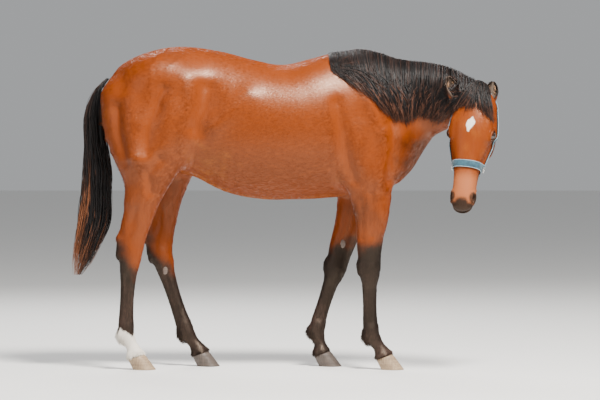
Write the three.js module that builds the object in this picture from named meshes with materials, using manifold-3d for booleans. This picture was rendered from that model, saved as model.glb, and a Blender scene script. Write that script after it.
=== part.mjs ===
// A life-size yearling horse standing still, its head turned to its right side.
// Millimetres, +Z up. The horse looks along +X, its right side is -Y, and Z = 0 is the floor.
import * as THREE from "three";
import { mergeVertices } from "three/addons/utils/BufferGeometryUtils.js";
import Module from "manifold-3d";

const wasm = await Module();
wasm.setup();

// ---------------------------------------------------------------- driving sizes
const GAP = 0.3; // clear space between two pieces that meet
const SPINE_STEPS = 5; // samples between two stations of a loft
const LEFT = 1;
const RIGHT = -1;

// ---------------------------------------------------------------- distance fields
// Every form is a function (x, y, z) => distance to its surface, below zero inside.
const clamp = (v, lo, hi) => Math.min(hi, Math.max(lo, v));
const mix = (a, b, t) => a + (b - a) * t;

function softMin(a, b, k) {
  const h = Math.max(k - Math.abs(a - b), 0) / k;
  return Math.min(a, b) - (h * h * k) / 4;
}

function softMax(a, b, k) {
  return -softMin(-a, -b, k);
}

// A smooth row of numbers through the stations' rows (a Catmull-Rom spline in every column).
function smoothRows(rows) {
  const out = [];
  for (let i = 0; i < rows.length - 1; i++) {
    const r = [-1, 0, 1, 2].map((k) => rows[clamp(i + k, 0, rows.length - 1)]);
    for (let s = 0; s < SPINE_STEPS; s++) {
      const t = s / SPINE_STEPS;
      out.push(
        r[1].map((v1, c) => {
          const v0 = r[0][c];
          const v2 = r[2][c];
          const v3 = r[3][c];
          const linear = (v2 - v0) * t;
          const square = (2 * v0 - 5 * v1 + 4 * v2 - v3) * t * t;
          const cube = (3 * v1 - v0 - 3 * v2 + v3) * t * t * t;
          return v1 + (linear + square + cube) / 2;
        }),
      );
    }
  }
  out.push(rows[rows.length - 1]);
  return out;
}

// A body of oval sections along a spine. Each station is [x, y, z, front, back, side]: the spine's
// point, then how far the section reaches to the front (the side that faces `face`), to the back
// and to each side. `square` over 2 fills the sections' corners.
function loft(face, stations, square = 2) {
  const rows = smoothRows(stations);
  const hint = new THREE.Vector3(...face);
  const pieces = [];
  for (let i = 0; i < rows.length - 1; i++) {
    const [a, b] = [rows[i], rows[i + 1]];
    const run = new THREE.Vector3(b[0] - a[0], b[1] - a[1], b[2] - a[2]);
    const length = run.length();
    const along = run.clone().divideScalar(length);
    const front = hint.clone().addScaledVector(along, -hint.dot(along)).normalize();
    const side = along.clone().cross(front);
    pieces.push({ a, b, run, length, along, front, side });
  }
  const most = Math.max(...rows.map((r) => Math.max(r[3], r[4], r[5])));
  const low = [0, 1, 2].map((c) => Math.min(...rows.map((r) => r[c])) - most);
  const high = [0, 1, 2].map((c) => Math.max(...rows.map((r) => r[c])) + most);
  return (x, y, z) => {
    const away = Math.max(low[0] - x, x - high[0], low[1] - y, y - high[1], low[2] - z, z - high[2]);
    if (away > most) return away;
    let best = 1e9;
    for (const { a, b, run, length, along, front, side } of pieces) {
      let dx = x - a[0];
      let dy = y - a[1];
      let dz = z - a[2];
      const t = clamp((dx * run.x + dy * run.y + dz * run.z) / (length * length), 0, 1);
      dx -= run.x * t;
      dy -= run.y * t;
      dz -= run.z * t;
      const f = dx * front.x + dy * front.y + dz * front.z;
      const s = dx * side.x + dy * side.y + dz * side.z;
      const e = dx * along.x + dy * along.y + dz * along.z;
      const deep = f > 0 ? mix(a[3], b[3], t) : mix(a[4], b[4], t);
      const wide = mix(a[5], b[5], t);
      const round = Math.min(deep, wide);
      const away2 = Math.sqrt(f * f + s * s + e * e);
      if (away2 < 1e-3) {
        best = Math.min(best, -round);
        continue;
      }
      let reach;
      if (square === 2) {
        reach = Math.sqrt((f / deep) ** 2 + (s / wide) ** 2 + (e / round) ** 2);
      } else {
        const oval = Math.abs(f / deep) ** square + Math.abs(s / wide) ** square;
        reach = (oval + Math.abs(e / round) ** square) ** (1 / square);
      }
      best = Math.min(best, away2 * (1 - 1 / reach));
    }
    return best;
  };
}

// A round-ended rod whose radius runs from ra at a to rb at b.
function rod(a, b, ra, rb = ra) {
  return loft([0.31, 0.17, 0.93], [[...a, ra, ra, ra], [...b, rb, rb, rb]]);
}

// A muscle belly from a to b: `wide` across, `thick` through, with `out` the way it faces.
function belly(a, b, wide, thick, out) {
  const middle = new THREE.Vector3(...a).add(new THREE.Vector3(...b)).multiplyScalar(0.5);
  const along = new THREE.Vector3(...b).sub(new THREE.Vector3(...a));
  const half = along.length() / 2;
  along.normalize();
  const face = new THREE.Vector3(...out);
  face.addScaledVector(along, -face.dot(along)).normalize();
  const side = along.clone().cross(face);
  return (x, y, z) => {
    const dx = x - middle.x;
    const dy = y - middle.y;
    const dz = z - middle.z;
    const e = (dx * along.x + dy * along.y + dz * along.z) / half;
    const f = (dx * face.x + dy * face.y + dz * face.z) / thick;
    const s = (dx * side.x + dy * side.y + dz * side.z) / wide;
    const reach = Math.sqrt(e * e + f * f + s * s);
    if (reach < 1e-3) return -Math.min(thick, wide);
    return Math.sqrt(dx * dx + dy * dy + dz * dz) * (1 - 1 / reach);
  };
}

// Forms joined one after the other, each with its own blend.
class Flesh {
  constructor() {
    this.steps = [];
  }
  add(form, blend) {
    this.steps.push({ form, blend, cut: false });
    return this;
  }
  cut(form, blend) {
    this.steps.push({ form, blend, cut: true });
    return this;
  }
  at(x, y, z) {
    let d = 1e6;
    for (const { form, blend, cut } of this.steps) {
      d = cut ? softMax(d, -form(x, y, z), blend) : softMin(d, form(x, y, z), blend);
    }
    return d;
  }
}

// ---------------------------------------------------------------- trunk
const BARREL_AXIS = 1090; // height of the line that the trunk's sections are measured from
// [x, top line, belly line, half width]
const BARREL = [
  [-790, 1292, 1120, 58], // root of the tail
  [-700, 1378, 1010, 120],
  [-590, 1425, 930, 172], // croup
  [-473, 1447, 890, 203],
  [-330, 1429, 846, 210], // loin and flank
  [-200, 1394, 782, 226],
  [-80, 1369, 760, 236], // widest ribs
  [20, 1364, 760, 238],
  [85, 1379, 761, 233],
  [150, 1400, 765, 224],
  [266, 1424, 776, 196], // withers
  [380, 1402, 800, 166],
  [480, 1300, 850, 138],
];

// [x, y, z, up, down, side]
const NECK = [
  [330, 0, 1160, 256, 262, 108],
  [430, 0, 1158, 248, 262, 112],
  [525, -8, 1172, 222, 216, 102],
  [613, -40, 1192, 190, 160, 88],
  [692, -92, 1207, 155, 136, 78],
  [757, -150, 1206, 122, 118, 72],
  [806, -205, 1203, 98, 104, 65],
];

function trunkForms(flesh) {
  const sections = BARREL.map(([x, top, low, wide]) => {
    return [x, 0, BARREL_AXIS, top - BARREL_AXIS, BARREL_AXIS - low, wide];
  });
  flesh.add(loft([0, 0, 1], sections, 2.15), 1);
  for (const s of [RIGHT, LEFT]) {
    // croup, point of the hip, front of the thigh
    flesh.add(belly([-740, s * 78, 1262], [-420, s * 120, 1340], 110, 92, [0, s, 0.4]), 60);
    flesh.add(rod([-440, s * 178, 1322], [-404, s * 174, 1284], 30, 26), 64);
    flesh.add(belly([-432, s * 178, 1320], [-500, s * 172, 940], 82, 50, [0, s, 0]), 46);
    // point of the buttock
    flesh.add(rod([-774, s * 62, 1222], [-766, s * 74, 1110], 42, 34), 46);
    // hollow of the flank
    flesh.cut(belly([-372, s * 250, 1300], [-318, s * 262, 1130], 46, 42, [0, s, 0]), 60);
    // shoulder blade, upper arm, point of the shoulder, breast
    flesh.add(belly([282, s * 82, 1378], [468, s * 146, 1010], 100, 50, [0.3, s, 0.1]), 44);
    flesh.add(belly([372, s * 118, 1180], [300, s * 142, 800], 100, 62, [0, s, 0]), 44);
    flesh.add(rod([474, s * 118, 1020], [402, s * 126, 870], 60, 62), 40);
    flesh.add(belly([530, s * 50, 1060], [468, s * 78, 830], 80, 66, [1, 0, 0]), 36);
  }
}

// ---------------------------------------------------------------- legs
// Each leg is one loft through its joints. A station is [bone, share of the bone, forward, front,
// back, side]: bone 0 runs from the first joint to the second, and so on.
const FORELEG = [
  [0, -0.25, 0, 96, 92, 62],
  [0, 0.1, 0, 88, 90, 58], // elbow
  [0, 0.33, 2, 73, 74, 51],
  [0, 0.53, 1, 63, 63, 43], // forearm
  [0, 0.75, 0, 55, 56, 36],
  [0, 0.9, 2, 51, 50, 36],
  [1, 0.0, 3, 51, 47, 39], // knee
  [1, 0.12, 3, 45, 44, 36],
  [1, 0.24, 2, 35, 37, 27],
  [1, 0.41, 1, 31, 33, 21],
  [1, 0.62, 0, 30, 32, 20], // cannon
  [1, 0.8, 0, 32, 34, 23],
  [1, 0.92, 2, 36, 37, 29],
  [2, 0.0, 3, 36, 38, 31], // fetlock
  [2, 0.25, 1, 31, 35, 28],
  [2, 0.55, 0, 27, 29, 26], // pastern
  [2, 0.85, 2, 30, 32, 34],
  [2, 1.12, 4, 36, 38, 42], // coronet
];

const HINDLEG = [
  [0, -0.1, 0, 150, 155, 82],
  [0, 0.35, -20, 165, 160, 94], // thigh
  [0, 0.8, -48, 165, 160, 84],
  [1, 0.02, -60, 146, 146, 74], // stifle
  [1, 0.15, -50, 122, 112, 68],
  [1, 0.3, -40, 94, 92, 60],
  [1, 0.45, -32, 78, 78, 53], // gaskin
  [1, 0.62, -20, 66, 66, 43],
  [1, 0.8, -10, 58, 56, 35],
  [1, 0.93, -2, 58, 52, 35],
  [2, 0.03, 2, 57, 50, 39], // hock
  [2, 0.14, 3, 49, 46, 36],
  [2, 0.26, 2, 38, 40, 29],
  [2, 0.42, 1, 32, 34, 23],
  [2, 0.62, 0, 30, 32, 21], // cannon
  [2, 0.8, 0, 32, 34, 23],
  [2, 0.92, 1, 36, 37, 28],
  [3, 0.0, 2, 36, 38, 30], // fetlock
  [3, 0.25, 0, 31, 35, 28],
  [3, 0.55, 0, 27, 29, 26], // pastern
  [3, 0.85, 2, 31, 33, 34],
  [3, 1.12, 4, 36, 38, 42], // coronet
];

// shoulder side first: elbow, knee, fetlock, coronet; hip, stifle, hock, fetlock, coronet
const JOINTS = {
  foreleg_right: [[384, -124, 800], [371, -114, 456], [380, -107, 162], [440, -106, 66]],
  foreleg_left: [[335, 124, 800], [223, 112, 448], [137, 105, 170], [163, 104, 66]],
  hindleg_right: [[-620, -108, 1180], [-535, -154, 935], [-700, -120, 530], [-717, -110, 166], [-671, -108, 66]],
  hindleg_left: [[-600, 108, 1180], [-478, 154, 930], [-577, 120, 522], [-456, 110, 162], [-390, 108, 66]],
};

// The point at a share of a bone, moved forward (square to the bone in the leg's plane) and outward.
function onBone(joints, bone, share, forward = 0, outward = 0) {
  const [a, b] = [joints[bone], joints[bone + 1]];
  const run = Math.hypot(b[0] - a[0], b[2] - a[2]);
  const p = [0, 1, 2].map((c) => mix(a[c], b[c], share));
  p[0] -= (forward * (b[2] - a[2])) / run;
  p[1] += Math.sign(a[1]) * outward;
  p[2] += (forward * (b[0] - a[0])) / run;
  return p;
}

function legForms(flesh, name) {
  const joints = JOINTS[name];
  const fore = name.startsWith("fore");
  const shape = fore ? FORELEG : HINDLEG;
  const at = (bone, share, forward, outward) => onBone(joints, bone, share, forward, outward);
  const stations = shape.map(([bone, share, forward, ...sizes]) => [...at(bone, share, forward), ...sizes]);
  const side = Math.sign(joints[0][1]);
  flesh.add(loft([1, 0, 0], stations), fore ? 40 : 50);
  const cannon = fore ? 1 : 2;
  if (fore) {
    flesh.add(rod(at(0, -0.02, -78, 4), at(0, 0.08, -72, 0), 18, 20), 26); // point of the elbow
    flesh.add(belly(at(0, 0.0, 40, 10), at(0, 0.62, 24, 8), 40, 40, [0.4, side, 0]), 26); // extensor
    flesh.add(rod(at(0, 0.95, -44), at(1, 0.05, -42), 15, 13), 22); // back of the knee
  } else {
    // hamstring down the back of the thigh
    const drop = [-0.42, -0.1, 0.2, 0.5, 0.76, 0.98];
    const back = [-118, -120, -132, -150, -160, -164];
    const deep = [58, 74, 82, 82, 74, 60];
    const wide = [48, 56, 56, 48, 40, 34];
    const thigh = drop.map((share, i) => [...at(0, share, back[i], -14), 84, deep[i], wide[i]]);
    const ham = [[...at(1, 0.3, -80), 70, 60, 32], [...at(1, 0.48, -52), 60, 46, 30]];
    flesh.add(loft([1, 0, 0], [...thigh, ...ham]), 44);
    flesh.add(rod(at(0, 0.97, 26, 8), at(1, 0.06, 22, 8), 36, 30), 36); // kneecap
    flesh.add(rod(at(1, 0.91, -62), at(2, 0.06, -46), 14, 17), 16); // point of the hock
    flesh.add(rod(at(1, 0.91, -62), at(1, 0.5, -74), 11, 16), 22); // its tendon
    for (const s of [-1, 1]) {
      flesh.cut(belly(at(1, 0.55, -44, s * 52), at(1, 0.88, -38, s * 44), 13, 17, [0, 1, 0]), 26);
    }
  }
  for (const s of [-1, 1]) {
    // between bone and tendons, and the swell of the growth plates above the fetlock
    flesh.cut(rod(at(cannon, 0.3, -6, s * 26), at(cannon, 0.82, -8, s * 29), 6, 6), 14);
    flesh.add(rod(at(cannon + 1, 0, -24, s * 13), at(cannon + 1, 0.12, -28, s * 12), 15, 13), 16);
    flesh.add(rod(at(cannon + 1, 0.95, -26, s * 18), at(cannon + 1, 1.05, -26, s * 19), 20, 20), 14); // heel
  }
}

// ---------------------------------------------------------------- head
// The head's own frame: a runs down the face from the poll, b out of the forehead, c to its left.
const POLL = [838, -300, 1268];
const NOSE_OUT = 15; // degrees that the nose stands out beyond the poll
const FACE_TURN = -13; // degrees that the face looks back past square
const FACE_ROLL = 5.2; // degrees that the muzzle swings back
const radians = THREE.MathUtils.degToRad;
const headTurn = new THREE.Matrix4()
  .makeRotationY(radians(FACE_ROLL))
  .multiply(new THREE.Matrix4().makeRotationZ(radians(FACE_TURN)))
  .multiply(new THREE.Matrix4().makeRotationX(radians(-NOSE_OUT)));
const DOWN_FACE = new THREE.Vector3(0, 0, -1).transformDirection(headTurn);
const OUT_OF_FACE = new THREE.Vector3(0, -1, 0).transformDirection(headTurn);
const HEAD_LEFT = new THREE.Vector3(1, 0, 0).transformDirection(headTurn);

function inHead(form) {
  const [n, f, l] = [DOWN_FACE, OUT_OF_FACE, HEAD_LEFT];
  return (x, y, z) => {
    const dx = x - POLL[0];
    const dy = y - POLL[1];
    const dz = z - POLL[2];
    return form(dx * n.x + dy * n.y + dz * n.z, dx * f.x + dy * f.y + dz * f.z, dx * l.x + dy * l.y + dz * l.z);
  };
}

// The point of the horse's frame at (a, b, c) of the head's.
function headPoint(a, b, c) {
  return [0, 1, 2].map(
    (k) => POLL[k] + a * DOWN_FACE.getComponent(k) + b * OUT_OF_FACE.getComponent(k) + c * HEAD_LEFT.getComponent(k),
  );
}

// [a, b, c, front, back, side]
const SKULL = [
  [12, -64, 0, 48, 58, 54],
  [55, -64, 0, 62, 68, 74],
  [110, -64, 0, 74, 76, 92], // forehead
  [172, -64, 0, 74, 78, 101],
  [235, -64, 0, 64, 72, 88],
  [310, -64, 0, 53, 60, 66], // bridge of the nose
  [380, -65, 0, 46, 54, 55],
  [436, -67, 0, 42, 50, 51],
  [486, -70, 0, 38, 46, 50], // nostrils
  [526, -77, 0, 30, 38, 43],
];
const JAW = [
  [62, -132, 0, 60, 46, 50],
  [112, -158, 0, 80, 66, 70],
  [185, -160, 0, 85, 76, 80], // cheek
  [250, -143, 0, 75, 66, 74],
  [310, -124, 0, 60, 52, 60],
  [360, -114, 0, 48, 42, 49],
  [410, -109, 0, 40, 36, 44],
  [454, -107, 0, 36, 31, 42],
  [492, -107, 0, 34, 29, 39], // chin
  [518, -98, 0, 29, 25, 35],
];
const EYE = [205, -58, 87]; // a, b and how far out on each side
const EYE_RADIUS = 21;

// a, b, c of each ear's root, by side
const EAR_ROOTS = { [RIGHT]: [66, -50, -88], [LEFT]: [48, -74, 58] };

function headForms() {
  const head = new Flesh();
  head.add(loft([0, 1, 0], SKULL, 2.2), 1);
  head.add(loft([0, 1, 0], JAW, 2.2), 26);
  for (const s of [LEFT, RIGHT]) {
    head.add(belly([98, -146, s * 76], [285, -134, s * 74], 64, 20, [0, 0, s]), 22); // cheek muscle
    head.add(rod([158, -30, s * 77], [228, -36, s * 75], 14, 12), 20); // brow
    head.add(rod([64, -90, s * 72], [198, -96, s * 97], 17, 12), 20); // arch behind the eye
    head.add(rod([248, -90, s * 80], [335, -88, s * 62], 12, 8), 20); // ridge of the cheek
    head.add(belly([462, -66, s * 44], [522, -82, s * 42], 25, 15, [0, 0, s]), 14); // nostril's wall
    head.cut(belly([162, -40, s * 112], [136, -60, s * 110], 12, 16, [0, 0, s]), 24); // hollow over the eye
    head.cut(belly([474, -52, s * 62], [514, -68, s * 62], 8, 15, [0, 0, s]), 8); // nostril
    head.add(rod([78, -74, s * 60], EAR_ROOTS[s], 27, 21), 20); // muscles at the root of the ear
  }
  return (x, y, z) => head.at(x, y, z);
}

const HORSE = new Flesh();
trunkForms(HORSE);
HORSE.add(loft([0, 0, 1], NECK, 2.1), 60);
Object.keys(JOINTS).forEach((name) => legForms(HORSE, name));
HORSE.add(inHead(headForms()), 24);
const whole = (x, y, z) => HORSE.at(x, y, z);

// ---------------------------------------------------------------- meshing
// A grid cell's corners, its edges as pairs of corners, and its faces as rings of corners.
const CORNERS = [0, 1, 2, 3, 4, 5, 6, 7].map((q) => [q & 1, (q >> 1) & 1, (q >> 2) & 1]);
const EDGES = [0, 1, 2, 3, 4, 5, 6, 7].flatMap((q) => [1, 2, 4].filter((b) => !(q & b)).map((b) => [q, q | b]));
const FACES = [[0, 1, 3, 2], [4, 5, 7, 6], [0, 1, 5, 4], [2, 3, 7, 6], [0, 2, 6, 4], [1, 3, 7, 5]];
const edgeBetween = (p, q) => EDGES.findIndex(([a, b]) => a === Math.min(p, q) && b === Math.max(p, q));
const FACE_EDGES = FACES.map((ring) => ring.map((p, i) => edgeBetween(p, ring[(i + 1) % 4])));

function edgeAt(c, u, atU, w, atW) {
  const from = (atU << u) | (atW << w);
  return edgeBetween(from, from | (1 << c));
}

// The sheets of surface that pass through a cell, each as the list of cell edges that it crosses.
function sheetsOf(v) {
  const crossed = EDGES.map(([a, b]) => v[a] > 0 !== v[b] > 0);
  if (!crossed.includes(true)) return [];
  const sheet = EDGES.map((_, e) => e);
  const join = (a, b) => {
    const [from, to] = [sheet[a], sheet[b]];
    sheet.forEach((q, e) => (sheet[e] = q === from ? to : q));
  };
  FACES.forEach((ring, f) => {
    const here = FACE_EDGES[f].filter((e) => crossed[e]);
    if (here.length === 2) join(here[0], here[1]);
    if (here.length === 4)
      ring.forEach((corner, i) => {
        if (v[corner] <= 0) join(FACE_EDGES[f][i], FACE_EDGES[f][(i + 3) % 4]);
      });
  });
  const sheets = new Map();
  crossed.forEach((is, e) => is && sheets.set(sheet[e], [...(sheets.get(sheet[e]) || []), e]));
  return [...sheets.values()];
}

// The field's zero surface on a grid of cells, closed at the box's sides: one point for each sheet
// of surface in a cell, and one quad for each grid edge that the surface crosses.
function meshOf(field, low, high, cell) {
  const n = [0, 1, 2].map((c) => Math.ceil((high[c] - low[c]) / cell[c]) + 1);
  const index = (i, j, k) => i + n[0] * (j + n[1] * k);
  const at = (c, i) => low[c] + i * cell[c];
  const value = new Float32Array(n[0] * n[1] * n[2]);
  for (let k = 0; k < n[2]; k++)
    for (let j = 0; j < n[1]; j++)
      for (let i = 0; i < n[0]; i++) {
        const rim = i === 0 || j === 0 || k === 0 || i === n[0] - 1 || j === n[1] - 1 || k === n[2] - 1;
        const v = field(at(0, i), at(1, j), at(2, k));
        value[index(i, j, k)] = rim ? Math.max(v, 1) : v || 1e-3;
      }
  const points = [];
  const edgePoint = new Map(); // (cell, edge of the cell) => point
  for (let k = 0; k < n[2] - 1; k++)
    for (let j = 0; j < n[1] - 1; j++)
      for (let i = 0; i < n[0] - 1; i++) {
        const here = index(i, j, k);
        const v = CORNERS.map(([a, b, c]) => value[here + a + n[0] * (b + n[1] * c)]);
        for (const sheet of sheetsOf(v)) {
          const sum = [0, 0, 0];
          for (const e of sheet) {
            const [a, b] = EDGES[e];
            const t = v[a] / (v[a] - v[b]);
            for (let c = 0; c < 3; c++) sum[c] += mix(CORNERS[a][c], CORNERS[b][c], t);
            edgePoint.set(here * 12 + e, points.length);
          }
          points.push([i, j, k].map((q, c) => at(c, q + sum[c] / sheet.length)));
        }
      }
  for (const p of points) settle(field, p, Math.min(...cell) / 2);
  const faces = [];
  const step = [1, n[0], n[0] * n[1]];
  for (let k = 0; k < n[2] - 1; k++)
    for (let j = 0; j < n[1] - 1; j++)
      for (let i = 0; i < n[0] - 1; i++) {
        const here = index(i, j, k);
        for (let c = 0; c < 3; c++) {
          const inside = value[here] <= 0;
          if (inside === value[here + step[c]] <= 0) continue;
          const [u, w] = [(c + 1) % 3, (c + 2) % 3];
          const quad = [[1, 1], [0, 1], [0, 0], [1, 0]].map(([atU, atW]) => {
            const cellHere = here - atU * step[u] - atW * step[w];
            return edgePoint.get(cellHere * 12 + edgeAt(c, u, atU, w, atW));
          });
          if (!inside) quad.reverse();
          faces.push(...halves(points, quad));
        }
      }
  const geometry = new THREE.BufferGeometry();
  geometry.setAttribute("position", new THREE.Float32BufferAttribute(points.flat(), 3));
  geometry.setIndex(faces);
  return geometry;
}

// Moves a point onto the field's zero surface, by at most `most`.
function settle(field, p, most) {
  const h = 0.5;
  for (let turn = 0; turn < 2; turn++) {
    const d = field(...p);
    const g = [0, 1, 2].map((c) => {
      const q = [...p];
      q[c] += h;
      return (field(...q) - d) / h;
    });
    const g2 = g[0] * g[0] + g[1] * g[1] + g[2] * g[2];
    if (g2 < 1e-3) return;
    const share = clamp(d / g2, -most, most);
    for (let c = 0; c < 3; c++) p[c] -= g[c] * share;
  }
}

// Two triangles of a quad, split across its shorter diagonal.
function halves(points, [a, b, c, d]) {
  const far = (p, q) => Math.hypot(...[0, 1, 2].map((k) => points[p][k] - points[q][k]));
  return far(a, c) < far(b, d) ? [a, b, c, a, c, d] : [a, b, d, b, c, d];
}

// A skin of rings about a spine of [centre, way along, way to the front], each spoke running out to
// the field's surface but no further than `reach`. The two ends close on a point.
function ringSkin(field, spine, spokes, reach) {
  const points = [];
  const outward = (from, way, most) => {
    const at = (d) => field(from[0] + way.x * d, from[1] + way.y * d, from[2] + way.z * d);
    let d = 4;
    while (d < most && at(d) < 0) d += Math.max(4, -0.6 * at(d));
    let [near, far] = [Math.max(0, d - 40), d];
    while (at(near) > 0 && near > 0) near = Math.max(0, near - 10);
    for (let turn = 0; turn < 16 && d < most; turn++) {
      const middle = (near + far) / 2;
      if (at(middle) < 0) near = middle;
      else far = middle;
    }
    const most2 = d < most ? near : most;
    return [from[0] + way.x * most2, from[1] + way.y * most2, from[2] + way.z * most2];
  };
  for (const [centre, along, face] of spine) {
    const axis = new THREE.Vector3(...along).normalize();
    const front = new THREE.Vector3(...face);
    front.addScaledVector(axis, -axis.dot(front)).normalize();
    const side = axis.clone().cross(front);
    for (let i = 0; i < spokes; i++) {
      const turn = (i * 2 * Math.PI) / spokes;
      const way = front.clone().multiplyScalar(Math.cos(turn)).addScaledVector(side, Math.sin(turn));
      points.push(outward(centre, way, reach));
    }
  }
  const rings = spine.length;
  const ends = [spine[0], spine.at(-1)].map(([centre, along], e) =>
    outward(centre, new THREE.Vector3(...along).normalize().multiplyScalar(e ? 1 : -1), 60),
  );
  points.push(...ends);
  const faces = [];
  for (let i = 0; i < spokes; i++) {
    const j = (i + 1) % spokes;
    for (let r = 0; r < rings - 1; r++) {
      faces.push(...halves(points, [r * spokes + i, r * spokes + j, (r + 1) * spokes + j, (r + 1) * spokes + i]));
    }
    faces.push(rings * spokes, j, i);
    faces.push(rings * spokes + 1, (rings - 1) * spokes + i, (rings - 1) * spokes + j);
  }
  const geometry = new THREE.BufferGeometry();
  geometry.setAttribute("position", new THREE.Float32BufferAttribute(points.flat(), 3));
  geometry.setIndex(faces);
  return geometry;
}

// ---------------------------------------------------------------- solids
function solidOf(geometry) {
  const g = geometry.clone();
  g.deleteAttribute("normal");
  g.deleteAttribute("uv");
  const merged = mergeVertices(g, 1e-3);
  return new wasm.Manifold(
    new wasm.Mesh({
      numProp: 3,
      vertProperties: merged.attributes.position.array,
      triVerts: new Uint32Array(merged.index.array),
    }),
  );
}

function geometryOf(solid) {
  const mesh = solid.getMesh();
  const g = new THREE.BufferGeometry();
  g.setAttribute("position", new THREE.Float32BufferAttribute(mesh.vertProperties, 3));
  g.setIndex([...mesh.triVerts]);
  return g;
}

// Brings the middle of the horse's bounding box over the origin.
const MIDDLE_OF_BOX = [2.1, 76.6, 0];

const horse = new THREE.Group();

function addPiece(name, solid, colour, roughness) {
  const material = new THREE.MeshStandardMaterial({ color: colour, roughness, metalness: 0 });
  const mesh = new THREE.Mesh(geometryOf(solid.translate(MIDDLE_OF_BOX)), material);
  mesh.name = name;
  horse.add(mesh);
  return mesh;
}

// ---------------------------------------------------------------- cuts
// The half of space on the back of a plane [point, normal], moved along the normal by `shift`.
function behind([point, normal], shift = 0) {
  const size = 5000;
  const block = new THREE.BoxGeometry(size, size, size);
  block.translate(0, 0, shift - size / 2);
  const up = new THREE.Vector3(0, 0, 1);
  block.applyQuaternion(new THREE.Quaternion().setFromUnitVectors(up, new THREE.Vector3(...normal).normalize()));
  block.translate(...point);
  return solidOf(block);
}

const within = (planes, shift) => planes.map((p) => behind(p, shift)).reduce((a, b) => a.intersect(b));
const flip = ([point, normal]) => [point, normal.map((v) => -v)];
const headDirection = (a, b, c) => headPoint(a, b, c).map((v, k) => v - POLL[k]);

const WITHERS_CUT = [[380, 0, 1420], [0.882, 0, 0.473]]; // neck in front of it
const THROAT_CUT = [headPoint(0, -105, 0), headDirection(0.62, 0.66, 0.42)]; // head in front of it
const MIDDLE = (s) => [[0, 0, 0], [0, -s, 0]]; // the horse's middle, with side s behind it
const LEG_CUTS = {
  foreleg_right: [[[300, 0, 742], [-0.408, 0, 0.913]], MIDDLE(RIGHT)],
  foreleg_left: [[[228, 0, 742], [-0.408, 0, 0.913]], MIDDLE(LEFT)],
  hindleg_right: [[[-405, 0, 966], [-0.13, 0, 0.99]], [[-402, 0, 0], [1, 0, 0]], MIDDLE(RIGHT)],
  hindleg_left: [[[-360, 0, 960], [-0.13, 0, 0.99]], [[-352, 0, 0], [1, 0, 0]], MIDDLE(LEFT)],
};
const CORONET_SLOPE = 0.28; // rise of the hoof's top edge towards the toe

const half = GAP / 2;
const mixed = (a, b, t) => a.map((v, k) => mix(v, b[k], t));
const COAT = 0x9c4c20;
const POINTS = 0x1d1614; // mane, tail and lower legs
const HORN = 0x7b6c5c;
const STRAP = 0x4f7682;
const METAL = 0xb9bcc0;

// ---------------------------------------------------------------- trunk, neck and head
const HEAD_RINGS = [
  -14, 14, 40, 66, 92, 118, 144, 168, 190, 212, 236, 262, 292, 324, 358, 392, 424, 450, 472, 492, 510, 528, 541, 549,
]; // down the face
const HEAD_SPOKES = 22;
const headSpine = HEAD_RINGS.map((a) => [
  headPoint(a, a < 200 ? mix(-92, -100, clamp(a / 200, 0, 1)) : mix(-100, -82, (a - 200) / 330), 0),
  headDirection(1, 0, 0),
  headDirection(0, 1, 0),
]);

// Each of the three with its coat grown by `grow`, cut from the others.
function trunkOf(grow) {
  const field = (x, y, z) => whole(x, y, z) - grow;
  const block = solidOf(meshOf(field, [-904, -318, 650], [796, 318, 1500], [86, 64, 66]));
  return block.intersect(behind(WITHERS_CUT, -half));
}
function neckOf(grow) {
  const field = (x, y, z) => whole(x, y, z) - grow;
  const block = solidOf(meshOf(field, [300, -380, 860], [960, 180, 1480], [58, 50, 52]));
  return block.intersect(behind(flip(WITHERS_CUT), -half)).intersect(behind(THROAT_CUT, -half));
}
function headOf(grow) {
  const field = (x, y, z) => whole(x, y, z) - grow;
  return solidOf(ringSkin(field, headSpine, HEAD_SPOKES, 250)).intersect(behind(flip(THROAT_CUT), -half));
}
let trunk = trunkOf(0);
for (const planes of Object.values(LEG_CUTS)) trunk = trunk.subtract(within(planes, half));
const neck = neckOf(0);
const clearOf = [trunkOf, neckOf, headOf].map((part) => part(1.5)); // room for the coat, for what lies on it
const clear = (solid) => clearOf.reduce((a, b) => a.subtract(b), solid);
const largest = (solid) => solid.decompose().sort((a, b) => b.volume() - a.volume())[0];

// ---------------------------------------------------------------- hooves
const HOOF_HEIGHT = 100; // of the horn before its top is cut
const HOOF_LEAN = 0.62; // how far the wall leans back for each millimetre up
const HOOF_TAPER = 0.0024;
const HOOF_SPOKES = 14;

// A hoof about the coronet joint `at`: two rings of the wall, closed below and above.
function hoofOf(at) {
  const points = [];
  for (const up of [0, HOOF_HEIGHT])
    for (let i = 0; i < HOOF_SPOKES; i++) {
      const turn = (i * 2 * Math.PI) / HOOF_SPOKES;
      const size = 1 - HOOF_TAPER * up;
      const long = Math.cos(turn) > 0 ? 56 : 50;
      const wide = 54 - 5 * (1 - Math.cos(turn)) ** 2;
      points.push(at[0] + 34 - HOOF_LEAN * up + long * size * Math.cos(turn));
      points.push(at[1] + wide * size * Math.sin(turn), up);
    }
  const faces = [];
  for (let i = 0; i < HOOF_SPOKES; i++) {
    const [a, b] = [i, (i + 1) % HOOF_SPOKES];
    faces.push(a, b, b + HOOF_SPOKES, a, b + HOOF_SPOKES, a + HOOF_SPOKES);
    if (i > 0 && i < HOOF_SPOKES - 1) faces.push(0, i + 1, i, HOOF_SPOKES, HOOF_SPOKES + i, HOOF_SPOKES + i + 1);
  }
  const geometry = new THREE.BufferGeometry();
  geometry.setAttribute("position", new THREE.Float32BufferAttribute(points, 3));
  geometry.setIndex(faces);
  return solidOf(geometry);
}

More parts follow.
